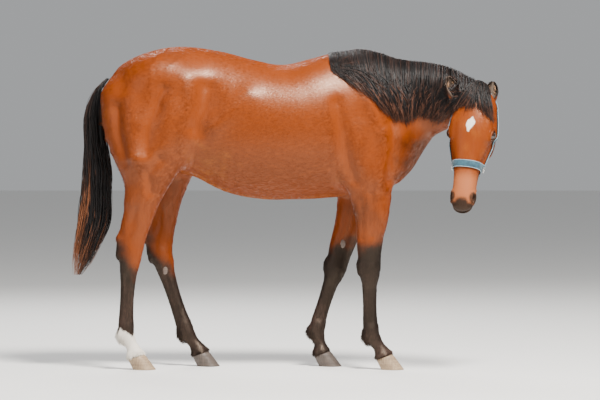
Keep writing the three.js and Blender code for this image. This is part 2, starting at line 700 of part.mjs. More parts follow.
// ---------------------------------------------------------------- legs
// The upper part of a leg comes from the grid, the lower part from rings down the bones.
const UPPER_BOXES = {
  foreleg_right: [[240, -210, 500], [540, 14, 880]],
  foreleg_left: [[150, -14, 500], [460, 210, 880]],
  hindleg_right: [[-872, -268, 600], [-372, 14, 1020]],
  hindleg_left: [[-860, -14, 600], [-318, 268, 1020]],
};
const FORE_RINGS = [
  [0, 0.56], [0, 0.72], [0, 0.86], [0, 0.96], [1, 0.06], [1, 0.2], [1, 0.38], [1, 0.62], [1, 0.82], [1, 0.95],
  [2, 0.06], [2, 0.34], [2, 0.66], [2, 1.0],
]; // bone, share
const HIND_RINGS = [
  [1, 0.46], [1, 0.62], [1, 0.78], [1, 0.9], [2, 0.0], [2, 0.1], [2, 0.24], [2, 0.42], [2, 0.64], [2, 0.84],
  [2, 0.96], [3, 0.08], [3, 0.36], [3, 0.68], [3, 1.0],
];
const LEG_SPOKES = 12;
const UPPER_NAMES = { fore: "forearm", hind: "thigh" };

const hooves = {};
const legs = {};
const uppers = {};
for (const [name, planes] of Object.entries(LEG_CUTS)) {
  const joints = JOINTS[name];
  const kind = name.slice(0, 4);
  const stops = kind === "fore" ? FORE_RINGS : HIND_RINGS;
  const centres = stops.map(([bone, share]) => onBone(joints, bone, share));
  const spine = centres.map((c, i) => {
    const [a, b] = [centres[Math.max(i - 1, 0)], centres[Math.min(i + 1, centres.length - 1)]];
    return [c, [0, 1, 2].map((k) => b[k] - a[k]), [1, 0, 0]];
  });
  const foot = joints.at(-1);
  const coronet = [foot, [-CORONET_SLOPE, 0, 1]];
  const up = spine[0][1].map((v) => -v);
  const across = [mixed(centres[0], centres[1], 0.15), up];
  const tube = solidOf(ringSkin(whole, spine, LEG_SPOKES, 120));
  legs[name] = tube.intersect(behind(across, -half)).intersect(behind(flip(coronet), -half));
  const cell = kind === "fore" ? [32, 32, 42] : [44, 42, 50];
  const block = solidOf(meshOf(whole, ...UPPER_BOXES[name], cell)).intersect(within(planes, -half));
  uppers[name.replace(kind + "leg", UPPER_NAMES[kind])] = block.intersect(behind(flip(across), -half));
  hooves[name.replace("leg", "")] = hoofOf(foot).intersect(behind(coronet, -half));
}

// ---------------------------------------------------------------- eyes
const ball = (radius, at) => {
  const sphere = new THREE.SphereGeometry(radius, 12, 6);
  sphere.translate(...at);
  return solidOf(sphere);
};
const eyeAt = (s) => headPoint(EYE[0], EYE[1], s * EYE[2]);

// ---------------------------------------------------------------- ears
// [up the ear, lean to the front, half width, depth, half opening of the shell in degrees]
const PINNA = [
  [0, 0, 20, 18, 168],
  [22, 3, 28, 22, 150],
  [50, 4, 31, 23, 126],
  [78, 3, 28, 19, 110],
  [104, 0, 18, 13, 100],
  [126, -4, 5, 5, 90],
];
const EAR_THICK = 5;
const EAR_SPOKES = 7;

// A hollow ear: a shell around the back of its own upright axis, open towards `open`. It is `grow`
// thicker on each side.
function earOf(root, up, open, grow = 0) {
  const axis = new THREE.Vector3(...up).normalize();
  const front = new THREE.Vector3(...open).addScaledVector(axis, -axis.dot(new THREE.Vector3(...open))).normalize();
  const side = axis.clone().cross(front);
  const points = [];
  for (const inner of [0, 1])
    for (const [rise, lean, wide, deep, opening] of PINNA)
      for (let i = 0; i <= EAR_SPOKES; i++) {
        const turn = radians(mix(-opening, opening, i / EAR_SPOKES));
        const wall = inner * (EAR_THICK + 2 * grow) - grow;
        const w = Math.max(wide - wall, 1.2) * Math.sin(turn);
        const d = lean - Math.max(deep - wall, 1.2) * Math.cos(turn);
        const height = rise - inner * (rise > 120 ? 4 : 0) + (rise ? grow : -grow);
        const p = new THREE.Vector3(...root).addScaledVector(axis, height);
        points.push(...p.addScaledVector(side, w).addScaledVector(front, d).toArray());
      }
  const [rows, line] = [PINNA.length, EAR_SPOKES + 1];
  const at = (inner, r, i) => inner * rows * line + r * line + i;
  const faces = [];
  const quad = (a, b, c, d) => faces.push(a, b, c, a, c, d);
  for (let r = 0; r < rows - 1; r++)
    for (let i = 0; i < EAR_SPOKES; i++) {
      quad(at(0, r, i), at(0, r, i + 1), at(0, r + 1, i + 1), at(0, r + 1, i));
      quad(at(1, r, i), at(1, r + 1, i), at(1, r + 1, i + 1), at(1, r, i + 1));
    }
  for (let i = 0; i < EAR_SPOKES; i++) {
    quad(at(0, 0, i), at(1, 0, i), at(1, 0, i + 1), at(0, 0, i + 1));
    quad(at(0, rows - 1, i), at(0, rows - 1, i + 1), at(1, rows - 1, i + 1), at(1, rows - 1, i));
  }
  for (let r = 0; r < rows - 1; r++) {
    quad(at(0, r, 0), at(0, r + 1, 0), at(1, r + 1, 0), at(1, r, 0));
    quad(at(0, r, EAR_SPOKES), at(1, r, EAR_SPOKES), at(1, r + 1, EAR_SPOKES), at(0, r + 1, EAR_SPOKES));
  }
  const geometry = new THREE.BufferGeometry();
  geometry.setAttribute("position", new THREE.Float32BufferAttribute(points, 3));
  geometry.setIndex(side.clone().cross(front).dot(axis) > 0 ? faces : faces.reverse());
  return solidOf(geometry);
}
// root, way up, way the opening faces
const EARS = {
  ear_right: [headPoint(...EAR_ROOTS[RIGHT]), headDirection(-0.9, 0.1, -0.38), headDirection(0.1, 0.85, 0.5)],
  ear_left: [headPoint(...EAR_ROOTS[LEFT]), headDirection(-0.92, -0.38, -0.03), headDirection(-0.2, 0.92, 0.3)],
};
const ears = Object.fromEntries(Object.entries(EARS).map(([name, ear]) => [name, clear(earOf(...ear))]));

// ---------------------------------------------------------------- head
let head = headOf(0);
for (const s of [RIGHT, LEFT]) head = head.subtract(ball(EYE_RADIUS + GAP, eyeAt(s)));
head = largest(head);

// ---------------------------------------------------------------- hair
// [x, y, z, front, back, side]
const TAIL = [
  [-822, 0, 1292, 18, 22, 20],
  [-850, 0, 1240, 26, 30, 26],
  [-868, 0, 1150, 32, 38, 33],
  [-866, 0, 1020, 46, 46, 38],
  [-850, 0, 900, 60, 66, 42],
  [-850, 0, 800, 66, 74, 44],
  [-858, 0, 670, 74, 84, 42],
  [-876, 0, 600, 66, 76, 38],
  [-896, 0, 540, 56, 64, 32],
  [-918, 0, 470, 40, 44, 22],
  [-938, 0, 420, 18, 20, 10],
];

const CREST = [[180, 0], [525, 0], [613, -36], [692, -88], [757, -146], [830, -230]]; // x, y of the crest
const MANE_EDGE = [ // x, z of the mane's lower edge on the right side
  [190, 1345], [210, 1288], [296, 1252], [359, 1203], [421, 1160], [484, 1102], [536, 1096],
  [610, 1122], [672, 1098], [712, 1110], [736, 1240], [800, 1296],
];
const MANE_THICK = 18;
const MANE_TOP = 0.2; // share of a hair's way that lies on the crest
const MANE_STOPS = [0, 0.06, 0.12, 0.2, 0.38, 0.6, 0.8, 1]; // along that way
const HAIR_CLEAR = 8; // between the coat and the hair on it
const CREST_DEPTH = 80; // of the points inside the neck that the crest's hairs are measured from

function along(line, x) {
  const past = line.findIndex((p) => p[0] > x);
  const i = past < 0 ? line.length - 1 : Math.max(past, 1);
  const [a, b] = [line[i - 1], line[i]];
  return mix(a[1], b[1], clamp((x - a[0]) / (b[0] - a[0]), 0, 1));
}

// The first point on the way out from `from` where the coat grown by `grow` ends.
function outTo(from, way, grow) {
  const length = Math.hypot(...way);
  const at = (d) => from.map((v, k) => v + (way[k] * d) / length);
  let far = 2;
  while (far < 400 && whole(...at(far)) < grow) far += 3;
  let near = far - 3;
  for (let turn = 0; turn < 12; turn++) {
    const middle = (near + far) / 2;
    if (whole(...at(middle)) < grow) near = middle;
    else far = middle;
  }
  return at(near);
}

// A slab over the coat: rows of rays [from, way], and how thick it is at a share (u, v) of the rows.
function slabOn(rays, clear, thick, closed = false) {
  const [rows, line] = [rays.length, rays[0].length];
  const points = [];
  for (const layer of [0, 1])
    rays.forEach((row, r) =>
      row.forEach(([from, way], i) => {
        const grow = clear + layer * thick(r / Math.max(rows - 1, 1), i / (line - 1));
        points.push(...outTo(from, way, grow));
      }),
    );
  const at = (layer, r, i) => layer * rows * line + (r % rows) * line + i;
  const faces = [];
  const quad = (a, b, c, d) => faces.push(a, b, c, a, c, d);
  for (let r = 0; r < (closed ? rows : rows - 1); r++) {
    for (let i = 0; i < line - 1; i++) {
      quad(at(1, r, i), at(1, r + 1, i), at(1, r + 1, i + 1), at(1, r, i + 1));
      quad(at(0, r, i), at(0, r, i + 1), at(0, r + 1, i + 1), at(0, r + 1, i));
    }
    quad(at(0, r, 0), at(0, r + 1, 0), at(1, r + 1, 0), at(1, r, 0));
    quad(at(0, r, line - 1), at(1, r, line - 1), at(1, r + 1, line - 1), at(0, r + 1, line - 1));
  }
  for (let i = 0; i < line - 1 && !closed; i++) {
    quad(at(0, 0, i), at(1, 0, i), at(1, 0, i + 1), at(0, 0, i + 1));
    quad(at(0, rows - 1, i), at(0, rows - 1, i + 1), at(1, rows - 1, i + 1), at(1, rows - 1, i));
  }
  const geometry = new THREE.BufferGeometry();
  geometry.setAttribute("position", new THREE.Float32BufferAttribute(points, 3));
  geometry.setIndex(faces);
  const solid = solidOf(geometry);
  if (solid.volume() > 0) return solid;
  geometry.setIndex(faces.reverse());
  return solidOf(geometry);
}

const share = (n) => Array.from({ length: n + 1 }, (_, i) => i / n);
const crestTop = (x) => outTo([x, along(CREST, x), 1180], [0, 0, 1], 0)[2];
const maneRays = share(12).map((u) => {
  const x = mix(204, 796, u);
  const [top, low] = [crestTop(x), along(MANE_EDGE, x)];
  return MANE_STOPS.map((v) => {
    const turn = radians(mix(-24, 82, clamp(v / MANE_TOP, 0, 1)));
    const down = clamp((v - MANE_TOP) / (1 - MANE_TOP), 0, 1);
    return [[x, along(CREST, x), mix(top - CREST_DEPTH, low, down)], [0, -Math.sin(turn), Math.cos(turn)]];
  });
});
const maneSlab = slabOn(maneRays, HAIR_CLEAR, (u, v) => MANE_THICK * (1 - 0.55 * v * v) * Math.min(1, 0.35 + 3 * u));
const FORELOCK_EDGE = [[-80, 166], [-60, 172], [-30, 140], [20, 128], [60, 158], [84, 186]]; // c, a
const forelockRays = share(7).map((u) => {
  const c = mix(-80, 78, u);
  const edge = along(FORELOCK_EDGE, c);
  return share(4).map((v) => [headPoint(mix(2, edge, v), -70, 0.8 * c), headDirection(0, 1, 0.0022 * c)]);
});
const forelock = clear(slabOn(forelockRays, HAIR_CLEAR, (u, v) => 11 - 5 * v)).subtract(ears.ear_right);
const foreheadPlanes = [[headPoint(1, 0, 0), headDirection(-1, 0, 0)], [headPoint(0, -74, 0), headDirection(0, -1, 0)]];
const mane = largest(clear(maneSlab).subtract(ears.ear_right).subtract(within(foreheadPlanes, 0)));

// ---------------------------------------------------------------- halter
const STRAP_THICK = 8;
const STRAP_CLEAR = 3.4;
const NOSEBAND = 352; // down the face
const NOSEBAND_WIDTH = 30;
const STRAP_WIDTH = 24;
const CROWN = [8, -106]; // a, b where the headpiece crosses the poll
const CHEEK_RING = [NOSEBAND - 4, -98]; // a, b of the rings on the cheeks
const JOWL = [168, -250];

// A strap around the head in the plane through two points (a, b) of the head and across it, from
// one turn to another in degrees about the middle: 0 is towards `to`, 90 is the horse's left.
function strapOf(from, to, width, turns, steps) {
  const run = [to[0] - from[0], to[1] - from[1]];
  const long = Math.hypot(...run);
  const up = run.map((v) => v / long);
  const middle = [(from[0] + to[0]) / 2, (from[1] + to[1]) / 2];
  const closed = turns[1] - turns[0] === 360;
  const stops = closed ? share(steps).slice(0, -1) : share(steps);
  const rays = stops.map((t) => {
    const turn = radians(mix(...turns, t));
    const way = headDirection(up[0] * Math.cos(turn), up[1] * Math.cos(turn), Math.sin(turn));
    return [-1, 1].map((e) => {
      const off = (e * width) / 2;
      return [headPoint(middle[0] - up[1] * off, middle[1] + up[0] * off, 0), way];
    });
  });
  return slabOn(rays, STRAP_CLEAR, () => STRAP_THICK, closed);
}
const bandEdge = NOSEBAND - NOSEBAND_WIDTH / 2 - GAP;
const faceSide = behind([headPoint(bandEdge, 0, 0), headDirection(1, 0, 0)]);
const headSide = behind(flip(THROAT_CUT), -1);
const noseband = strapOf([NOSEBAND, -126], [NOSEBAND, -26], NOSEBAND_WIDTH, [0, 360], 22);
const cheekRight = strapOf(CHEEK_RING, CROWN, STRAP_WIDTH, [-166, -42], 9).intersect(faceSide).intersect(headSide);
const cheekLeft = strapOf(CHEEK_RING, CROWN, STRAP_WIDTH, [42, 166], 9).intersect(faceSide);
const bothEars = Object.values(EARS).map((ear) => earOf(...ear, 2 * GAP)).reduce((a, b) => a.add(b));
const crown = strapOf(CHEEK_RING, CROWN, STRAP_WIDTH, [-41.8, 41.8], 10).subtract(bothEars);
const throat = strapOf([128, -118], JOWL, 20, [-128, 128], 14).intersect(headSide);
const shifts = [[GAP, 0, 0], [-GAP, 0, 0], [0, GAP, 0], [0, -GAP, 0], [0, 0, GAP], [0, 0, -GAP]];
const offMane = (strap) => shifts.reduce((a, b) => a.subtract(mane.translate(b)), strap.subtract(mane));
const loops = {
  halter_noseband: noseband,
  halter_cheek_right: largest(offMane(clear(cheekRight).subtract(crown))),
  halter_cheek_left: clear(cheekLeft),
  halter_crown: largest(offMane(clear(crown))),
  halter_throat: largest(offMane(clear(throat).subtract(cheekRight).subtract(cheekLeft))),
};

// How far out (along c) the coat lies on side s at (a, b) of the head.
function coatOut(a, b, s) {
  let [inner, outer] = [20, 160];
  for (let turn = 0; turn < 24; turn++) {
    const c = (inner + outer) / 2;
    if (whole(...headPoint(a, b, s * c)) < 0) inner = c;
    else outer = c;
  }
  return inner;
}
function ringOf(s) {
  const ring = new THREE.TorusGeometry(17, 3, 4, 10);
  const facing = new THREE.Vector3(...headDirection(0, 0, s));
  ring.applyQuaternion(new THREE.Quaternion().setFromUnitVectors(new THREE.Vector3(0, 0, 1), facing.normalize()));
  ring.translate(...headPoint(...CHEEK_RING, s * (coatOut(...CHEEK_RING, s) + STRAP_THICK + STRAP_CLEAR + 15)));
  return solidOf(ring);
}

// ---------------------------------------------------------------- pieces
addPiece("trunk", trunk, COAT, 0.55);
addPiece("neck", neck, COAT, 0.55);
addPiece("head", head, COAT, 0.55);
for (const [name, upper] of Object.entries(uppers)) addPiece(name, upper, COAT, 0.55);
for (const [name, leg] of Object.entries(legs)) addPiece(name, leg, POINTS, 0.6);
for (const [name, hoof] of Object.entries(hooves)) addPiece(`hoof_${name}`, hoof, HORN, 0.5);
for (const [name, ear] of Object.entries(ears)) addPiece(name, ear, COAT, 0.6);
addPiece("eye_right", ball(EYE_RADIUS, eyeAt(RIGHT)), 0x140d09, 0.08);
addPiece("eye_left", ball(EYE_RADIUS, eyeAt(LEFT)), 0x140d09, 0.08);
addPiece("mane", mane, POINTS, 0.7);
addPiece("forelock", forelock, POINTS, 0.7);
const tail = solidOf(meshOf(loft([1, 0, 0], TAIL), [-980, -70, 380], [-740, 70, 1330], [46, 32, 80]));
addPiece("tail", clear(tail), POINTS, 0.7);
for (const [name, strap] of Object.entries(loops)) addPiece(name, strap, STRAP, 0.6);
addPiece("halter_ring_right", ringOf(RIGHT), METAL, 0.3);
addPiece("halter_ring_left", ringOf(LEFT), METAL, 0.3);

export default horse;
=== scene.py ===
import math

import bmesh
import bpy
import numpy as np
from mathutils import Matrix, Vector
from mathutils.bvhtree import BVHTree

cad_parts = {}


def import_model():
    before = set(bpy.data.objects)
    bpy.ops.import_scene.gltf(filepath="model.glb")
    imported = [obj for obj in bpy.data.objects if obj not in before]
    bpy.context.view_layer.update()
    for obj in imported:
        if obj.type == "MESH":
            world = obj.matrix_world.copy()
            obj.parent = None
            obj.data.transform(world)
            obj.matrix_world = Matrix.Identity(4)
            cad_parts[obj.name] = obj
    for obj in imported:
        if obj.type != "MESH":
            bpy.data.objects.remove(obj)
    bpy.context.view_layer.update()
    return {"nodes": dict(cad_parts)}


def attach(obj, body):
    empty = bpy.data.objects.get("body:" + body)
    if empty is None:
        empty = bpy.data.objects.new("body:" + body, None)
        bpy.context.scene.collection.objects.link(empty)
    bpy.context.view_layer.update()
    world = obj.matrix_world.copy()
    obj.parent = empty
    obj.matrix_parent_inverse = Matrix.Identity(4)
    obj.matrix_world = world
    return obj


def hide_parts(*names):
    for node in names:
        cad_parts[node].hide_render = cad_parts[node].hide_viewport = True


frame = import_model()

# The horse's own frame is in millimetres: X to the front, Y to its left, Z up from the floor. This
# shift brings the middle of its bounding box over the origin.
MIDDLE = np.array([2.1, 76.6, 0.0])
COAT_DEPTH = 1.2  # of the skin under the forms, before it is softened and carved
LEFT, RIGHT = 1, -1
SIDE_NAME = {RIGHT: "right", LEFT: "left"}
rng = np.random.default_rng(7)


def world(p):
    """The horse's millimetres as the scene's metres."""
    return (np.asarray(p, float) + MIDDLE) * 0.001


def own(p):
    """The scene's metres as the horse's millimetres."""
    return np.asarray(p, float) * 1000 - MIDDLE


# ---------------------------------------------------------------- distance fields
# Every form is a function from points (n, 3) to distances from its surface, below zero inside.
def soft_min(a, b, k):
    h = np.maximum(k - np.abs(a - b), 0) / k
    return np.minimum(a, b) - h * h * k / 4


def soft_max(a, b, k):
    return -soft_min(-a, -b, k)


def unit(v):
    v = np.asarray(v, float)
    return v / np.maximum(np.linalg.norm(v, axis=-1, keepdims=True), 1e-12)


def smooth(x, low, high):
    t = np.clip((x - low) / (high - low), 0, 1)
    return t * t * (3 - 2 * t)


def hill(x, middle, width):
    """1 at the middle, less to both sides."""
    return np.exp(-((x - middle) / width) ** 2)


def to_segment(x, y, start, end):
    """The distance in a plane from each point to the line from start to end."""
    (x0, y0), (x1, y1) = start, end
    t = np.clip(((x - x0) * (x1 - x0) + (y - y0) * (y1 - y0)) / ((x1 - x0) ** 2 + (y1 - y0) ** 2), 0, 1)
    return np.hypot(x - x0 - t * (x1 - x0), y - y0 - t * (y1 - y0))


def round_turns(count):
    """Angles evenly around a circle."""
    return np.linspace(0, 2 * math.pi, count + 1)[:-1]


def smooth_rows(rows, steps=5):
    """A smooth row of numbers through the rows (a Catmull-Rom spline in every column)."""
    rows = np.asarray(rows, float)
    out = []
    for i in range(len(rows) - 1):
        v0, v1, v2, v3 = (rows[min(max(i + k, 0), len(rows) - 1)] for k in (-1, 0, 1, 2))
        for s in range(steps):
            t = s / steps
            curve = (v2 - v0) * t + (2 * v0 - 5 * v1 + 4 * v2 - v3) * t * t
            out.append(v1 + (curve + (3 * v1 - v0 - 3 * v2 + v3) * t ** 3) / 2)
    out.append(rows[-1])
    return np.array(out)


def loft(face, stations, square=2.0, steps=5):
    """A body of oval sections along a spine: [x, y, z, front, back, side] at each station."""
    rows = smooth_rows(stations, steps)
    hint = np.asarray(face, float)
    most = rows[:, 3:6].max()
    low = rows[:, :3].min(0) - most
    high = rows[:, :3].max(0) + most
    runs = rows[1:, :3] - rows[:-1, :3]
    lengths = np.linalg.norm(runs, axis=1)
    alongs = runs / lengths[:, None]

    def form(p):
        away = np.maximum(low - p, p - high).max(1)
        out = away.copy()
        near = np.nonzero(away <= most)[0]
        if not len(near):
            return out
        q = p[near]
        best = np.full(len(q), 1e9)
        for i, along in enumerate(alongs):
            a, b = rows[i], rows[i + 1]
            front = unit(hint - along * hint.dot(along))
            side = np.cross(along, front)
            d = q - a[:3]
            t = np.clip(d @ along / lengths[i], 0, 1)
            d = d - t[:, None] * runs[i]
            f, s, e = d @ front, d @ side, d @ along
            deep = np.where(f > 0, a[3] + (b[3] - a[3]) * t, a[4] + (b[4] - a[4]) * t)
            wide = a[5] + (b[5] - a[5]) * t
            tight = np.minimum(deep, wide)
            far = np.sqrt(f * f + s * s + e * e)
            if square == 2.0:
                reach = np.sqrt((f / deep) ** 2 + (s / wide) ** 2 + (e / tight) ** 2)
            else:
                oval = np.abs(f / deep) ** square + np.abs(s / wide) ** square
                reach = (oval + np.abs(e / tight) ** square) ** (1 / square)
            dist = np.where(far < 1e-3, -tight, far * (1 - 1 / np.maximum(reach, 1e-9)))
            best = np.minimum(best, dist)
        out[near] = best
        return out

    return form


def rod(a, b, ra, rb):
    return loft([0.31, 0.17, 0.93], [[*a, ra, ra, ra], [*b, rb, rb, rb]], steps=1)


def belly(a, b, wide, thick, out):
    """A muscle from a to b, `wide` across and `thick` through, that faces `out`."""
    a, b = np.asarray(a, float), np.asarray(b, float)
    middle = (a + b) / 2
    half = np.linalg.norm(b - a) / 2
    along = (b - a) / (2 * half)
    face = unit(np.asarray(out, float) - along * np.dot(out, along))
    across = np.cross(along, face)

    def form(p):
        d = p - middle
        reach = np.sqrt((d @ along / half) ** 2 + (d @ face / thick) ** 2 + (d @ across / wide) ** 2)
        far = np.sqrt((d * d).sum(1))
        return np.where(reach < 1e-3, -min(thick, wide), far * (1 - 1 / np.maximum(reach, 1e-9)))

    return form


class Flesh:
    """Forms joined one after the other, each with its own blend."""

    def __init__(self):
        self.steps = []

    def add(self, form, blend):
        self.steps.append((form, blend, False))

    def cut(self, form, blend):
        self.steps.append((form, blend, True))

    def __call__(self, p):
        d = np.full(len(p), 1e6)
        for form, blend, cut in self.steps:
            d = soft_max(d, -form(p), blend) if cut else soft_min(d, form(p), blend)
        return d


# ---------------------------------------------------------------- trunk and neck
BARREL_AXIS = 1090
# [x, top line, belly line, half width]
BARREL = [
    [-790, 1292, 1120, 58], [-700, 1378, 1010, 120], [-590, 1425, 930, 172], [-473, 1447, 890, 203],
    [-330, 1429, 846, 210], [-200, 1394, 782, 226], [-80, 1369, 760, 236], [20, 1364, 760, 238],
    [85, 1379, 761, 233], [150, 1400, 765, 224], [266, 1424, 776, 196], [380, 1402, 800, 166],
    [480, 1300, 850, 138],
]
# [x, y, z, up, down, side]
NECK = [
    [330, 0, 1160, 256, 262, 108], [430, 0, 1158, 248, 262, 112], [525, -8, 1172, 222, 216, 102],
    [613, -40, 1192, 190, 160, 88], [692, -92, 1207, 155, 136, 78], [757, -150, 1206, 122, 118, 72],
    [806, -205, 1203, 98, 104, 65],
]


def trunk_forms(flesh):
    sections = [
        [x, 0, BARREL_AXIS, top - BARREL_AXIS, BARREL_AXIS - low, wide] for x, top, low, wide in BARREL
    ]
    flesh.add(loft([0, 0, 1], sections, 2.15), 1)
    for s in (RIGHT, LEFT):
        # croup, point of the hip, front of the thigh, point of the buttock, hollow of the flank
        flesh.add(belly([-740, s * 78, 1262], [-420, s * 120, 1340], 110, 92, [0, s, 0.4]), 60)
        flesh.add(rod([-440, s * 178, 1322], [-404, s * 174, 1284], 30, 26), 64)
        flesh.add(belly([-432, s * 178, 1320], [-500, s * 172, 940], 82, 50, [0, s, 0]), 46)
        flesh.add(rod([-774, s * 62, 1222], [-766, s * 74, 1110], 42, 34), 46)
        flesh.cut(belly([-372, s * 250, 1300], [-318, s * 262, 1130], 46, 42, [0, s, 0]), 60)
        # shoulder blade, upper arm, point of the shoulder, breast
        flesh.add(belly([282, s * 82, 1378], [468, s * 146, 1010], 100, 50, [0.3, s, 0.1]), 44)
        flesh.add(belly([372, s * 118, 1180], [300, s * 142, 800], 100, 62, [0, s, 0]), 44)
        flesh.add(rod([474, s * 118, 1020], [402, s * 126, 870], 60, 62), 40)
        flesh.add(belly([530, s * 50, 1060], [468, s * 78, 830], 80, 66, [1, 0, 0]), 36)


# ---------------------------------------------------------------- legs
# A station is [bone, share of the bone, forward, front, back, side].
FORELEG = [
    [0, -0.25, 0, 96, 92, 62], [0, 0.1, 0, 88, 90, 58], [0, 0.33, 2, 73, 74, 51], [0, 0.53, 1, 63, 63, 43],
    [0, 0.75, 0, 55, 56, 36], [0, 0.9, 2, 51, 50, 36], [1, 0.0, 3, 51, 47, 39], [1, 0.12, 3, 45, 44, 36],
    [1, 0.24, 2, 35, 37, 27], [1, 0.41, 1, 31, 33, 21], [1, 0.62, 0, 30, 32, 20], [1, 0.8, 0, 32, 34, 23],
    [1, 0.92, 2, 36, 37, 29], [2, 0.0, 3, 36, 38, 31], [2, 0.25, 1, 31, 35, 28], [2, 0.55, 0, 27, 29, 26],
    [2, 0.85, 2, 30, 32, 34], [2, 1.12, 4, 36, 38, 42],
]
HINDLEG = [
    [0, -0.1, 0, 150, 155, 82], [0, 0.35, -20, 165, 160, 94], [0, 0.8, -48, 165, 160, 84],
    [1, 0.02, -60, 146, 146, 74], [1, 0.15, -50, 122, 112, 68], [1, 0.3, -40, 94, 92, 60],
    [1, 0.45, -32, 78, 78, 53], [1, 0.62, -20, 66, 66, 43], [1, 0.8, -10, 58, 56, 35],
    [1, 0.93, -2, 58, 52, 35],
    [2, 0.03, 2, 57, 50, 39], [2, 0.14, 3, 49, 46, 36], [2, 0.26, 2, 38, 40, 29], [2, 0.42, 1, 32, 34, 23],
    [2, 0.62, 0, 30, 32, 21], [2, 0.8, 0, 32, 34, 23], [2, 0.92, 1, 36, 37, 28], [3, 0.0, 2, 36, 38, 30],
    [3, 0.25, 0, 31, 35, 28], [3, 0.55, 0, 27, 29, 26], [3, 0.85, 2, 31, 33, 34], [3, 1.12, 4, 36, 38, 42],
]
# from the body down: elbow, knee, fetlock, coronet; hip, stifle, hock, fetlock, coronet
JOINTS = {
    "foreleg_right": [[384, -124, 800], [371, -114, 456], [380, -107, 162], [440, -106, 66]],
    "foreleg_left": [[335, 124, 800], [223, 112, 448], [137, 105, 170], [163, 104, 66]],
    "hindleg_right": [
        [-620, -108, 1180], [-535, -154, 935], [-700, -120, 530], [-717, -110, 166], [-671, -108, 66],
    ],
    "hindleg_left": [
        [-600, 108, 1180], [-478, 154, 930], [-577, 120, 522], [-456, 110, 162], [-390, 108, 66],
    ],
}


def on_bone(joints, bone, share, forward=0.0, outward=0.0):
    """The point at a share of a bone, moved forward (square to the bone) and outward."""
    a, b = np.array(joints[bone], float), np.array(joints[bone + 1], float)
    run = math.hypot(b[0] - a[0], b[2] - a[2])
    p = a + (b - a) * share
    p[0] -= forward * (b[2] - a[2]) / run
    p[1] += np.sign(a[1]) * outward
    p[2] += forward * (b[0] - a[0]) / run
    return p


def leg_forms(flesh, name):
    joints = JOINTS[name]
    fore = name.startswith("fore")

    def at(bone, share, forward=0.0, outward=0.0):
        return on_bone(joints, bone, share, forward, outward)

    side = np.sign(joints[0][1])
    rows = FORELEG if fore else HINDLEG
    stations = [[*at(bone, share, forward), *sizes] for bone, share, forward, *sizes in rows]
    flesh.add(loft([1, 0, 0], stations), 40 if fore else 50)
    cannon = 1 if fore else 2
    if fore:
        flesh.add(rod(at(0, -0.02, -78, 4), at(0, 0.08, -72, 0), 18, 20), 26)  # point of the elbow
        flesh.add(belly(at(0, 0.0, 40, 10), at(0, 0.62, 24, 8), 40, 40, [0.4, side, 0]), 26)
        flesh.add(rod(at(0, 0.95, -44), at(1, 0.05, -42), 15, 13), 22)  # back of the knee
    else:
        # hamstring down the back of the thigh
        drop = [-0.42, -0.1, 0.2, 0.5, 0.76, 0.98]
        back = [-118, -120, -132, -150, -160, -164]
        deep = [58, 74, 82, 82, 74, 60]
        wide = [48, 56, 56, 48, 40, 34]
        thigh = [[*at(0, drop[i], back[i], -14), 84, deep[i], wide[i]] for i in range(6)]
        ham = [[*at(1, 0.3, -80), 70, 60, 32], [*at(1, 0.48, -52), 60, 46, 30]]
        flesh.add(loft([1, 0, 0], thigh + ham), 44)
        flesh.add(rod(at(0, 0.97, 26, 8), at(1, 0.06, 22, 8), 36, 30), 36)  # kneecap
        flesh.add(rod(at(1, 0.91, -62), at(2, 0.06, -46), 14, 17), 16)  # point of the hock
        flesh.add(rod(at(1, 0.91, -62), at(1, 0.5, -74), 11, 16), 22)  # its tendon
        for s in (-1, 1):
            flesh.cut(belly(at(1, 0.55, -44, s * 52), at(1, 0.88, -38, s * 44), 13, 17, [0, 1, 0]), 26)
    for s in (-1, 1):
        # between bone and tendons, the swell of the growth plates above the fetlock, the heel
        flesh.cut(rod(at(cannon, 0.3, -6, s * 26), at(cannon, 0.82, -8, s * 29), 6, 6), 14)
        flesh.add(rod(at(cannon + 1, 0, -24, s * 13), at(cannon + 1, 0.12, -28, s * 12), 15, 13), 16)
        flesh.add(rod(at(cannon + 1, 0.95, -26, s * 18), at(cannon + 1, 1.05, -26, s * 19), 20, 20), 14)


# ---------------------------------------------------------------- head
# The head's own frame: a runs down the face from the poll, b out of the forehead, c to its left.
POLL = np.array([838.0, -300.0, 1268.0])
HEAD_TURN = np.array(
    (
        Matrix.Rotation(math.radians(5.2), 3, "Y")
        @ Matrix.Rotation(math.radians(-13), 3, "Z")
        @ Matrix.Rotation(math.radians(-15), 3, "X")
    )
)
HEAD_AXES = np.array([HEAD_TURN @ np.array(v, float) for v in ([0, 0, -1], [0, -1, 0], [1, 0, 0])])


def in_head(p):
    return (p - POLL) @ HEAD_AXES.T


def head_point(a, b, c):
    return POLL + a * HEAD_AXES[0] + b * HEAD_AXES[1] + c * HEAD_AXES[2]


def head_way(a, b, c):
    return a * HEAD_AXES[0] + b * HEAD_AXES[1] + c * HEAD_AXES[2]


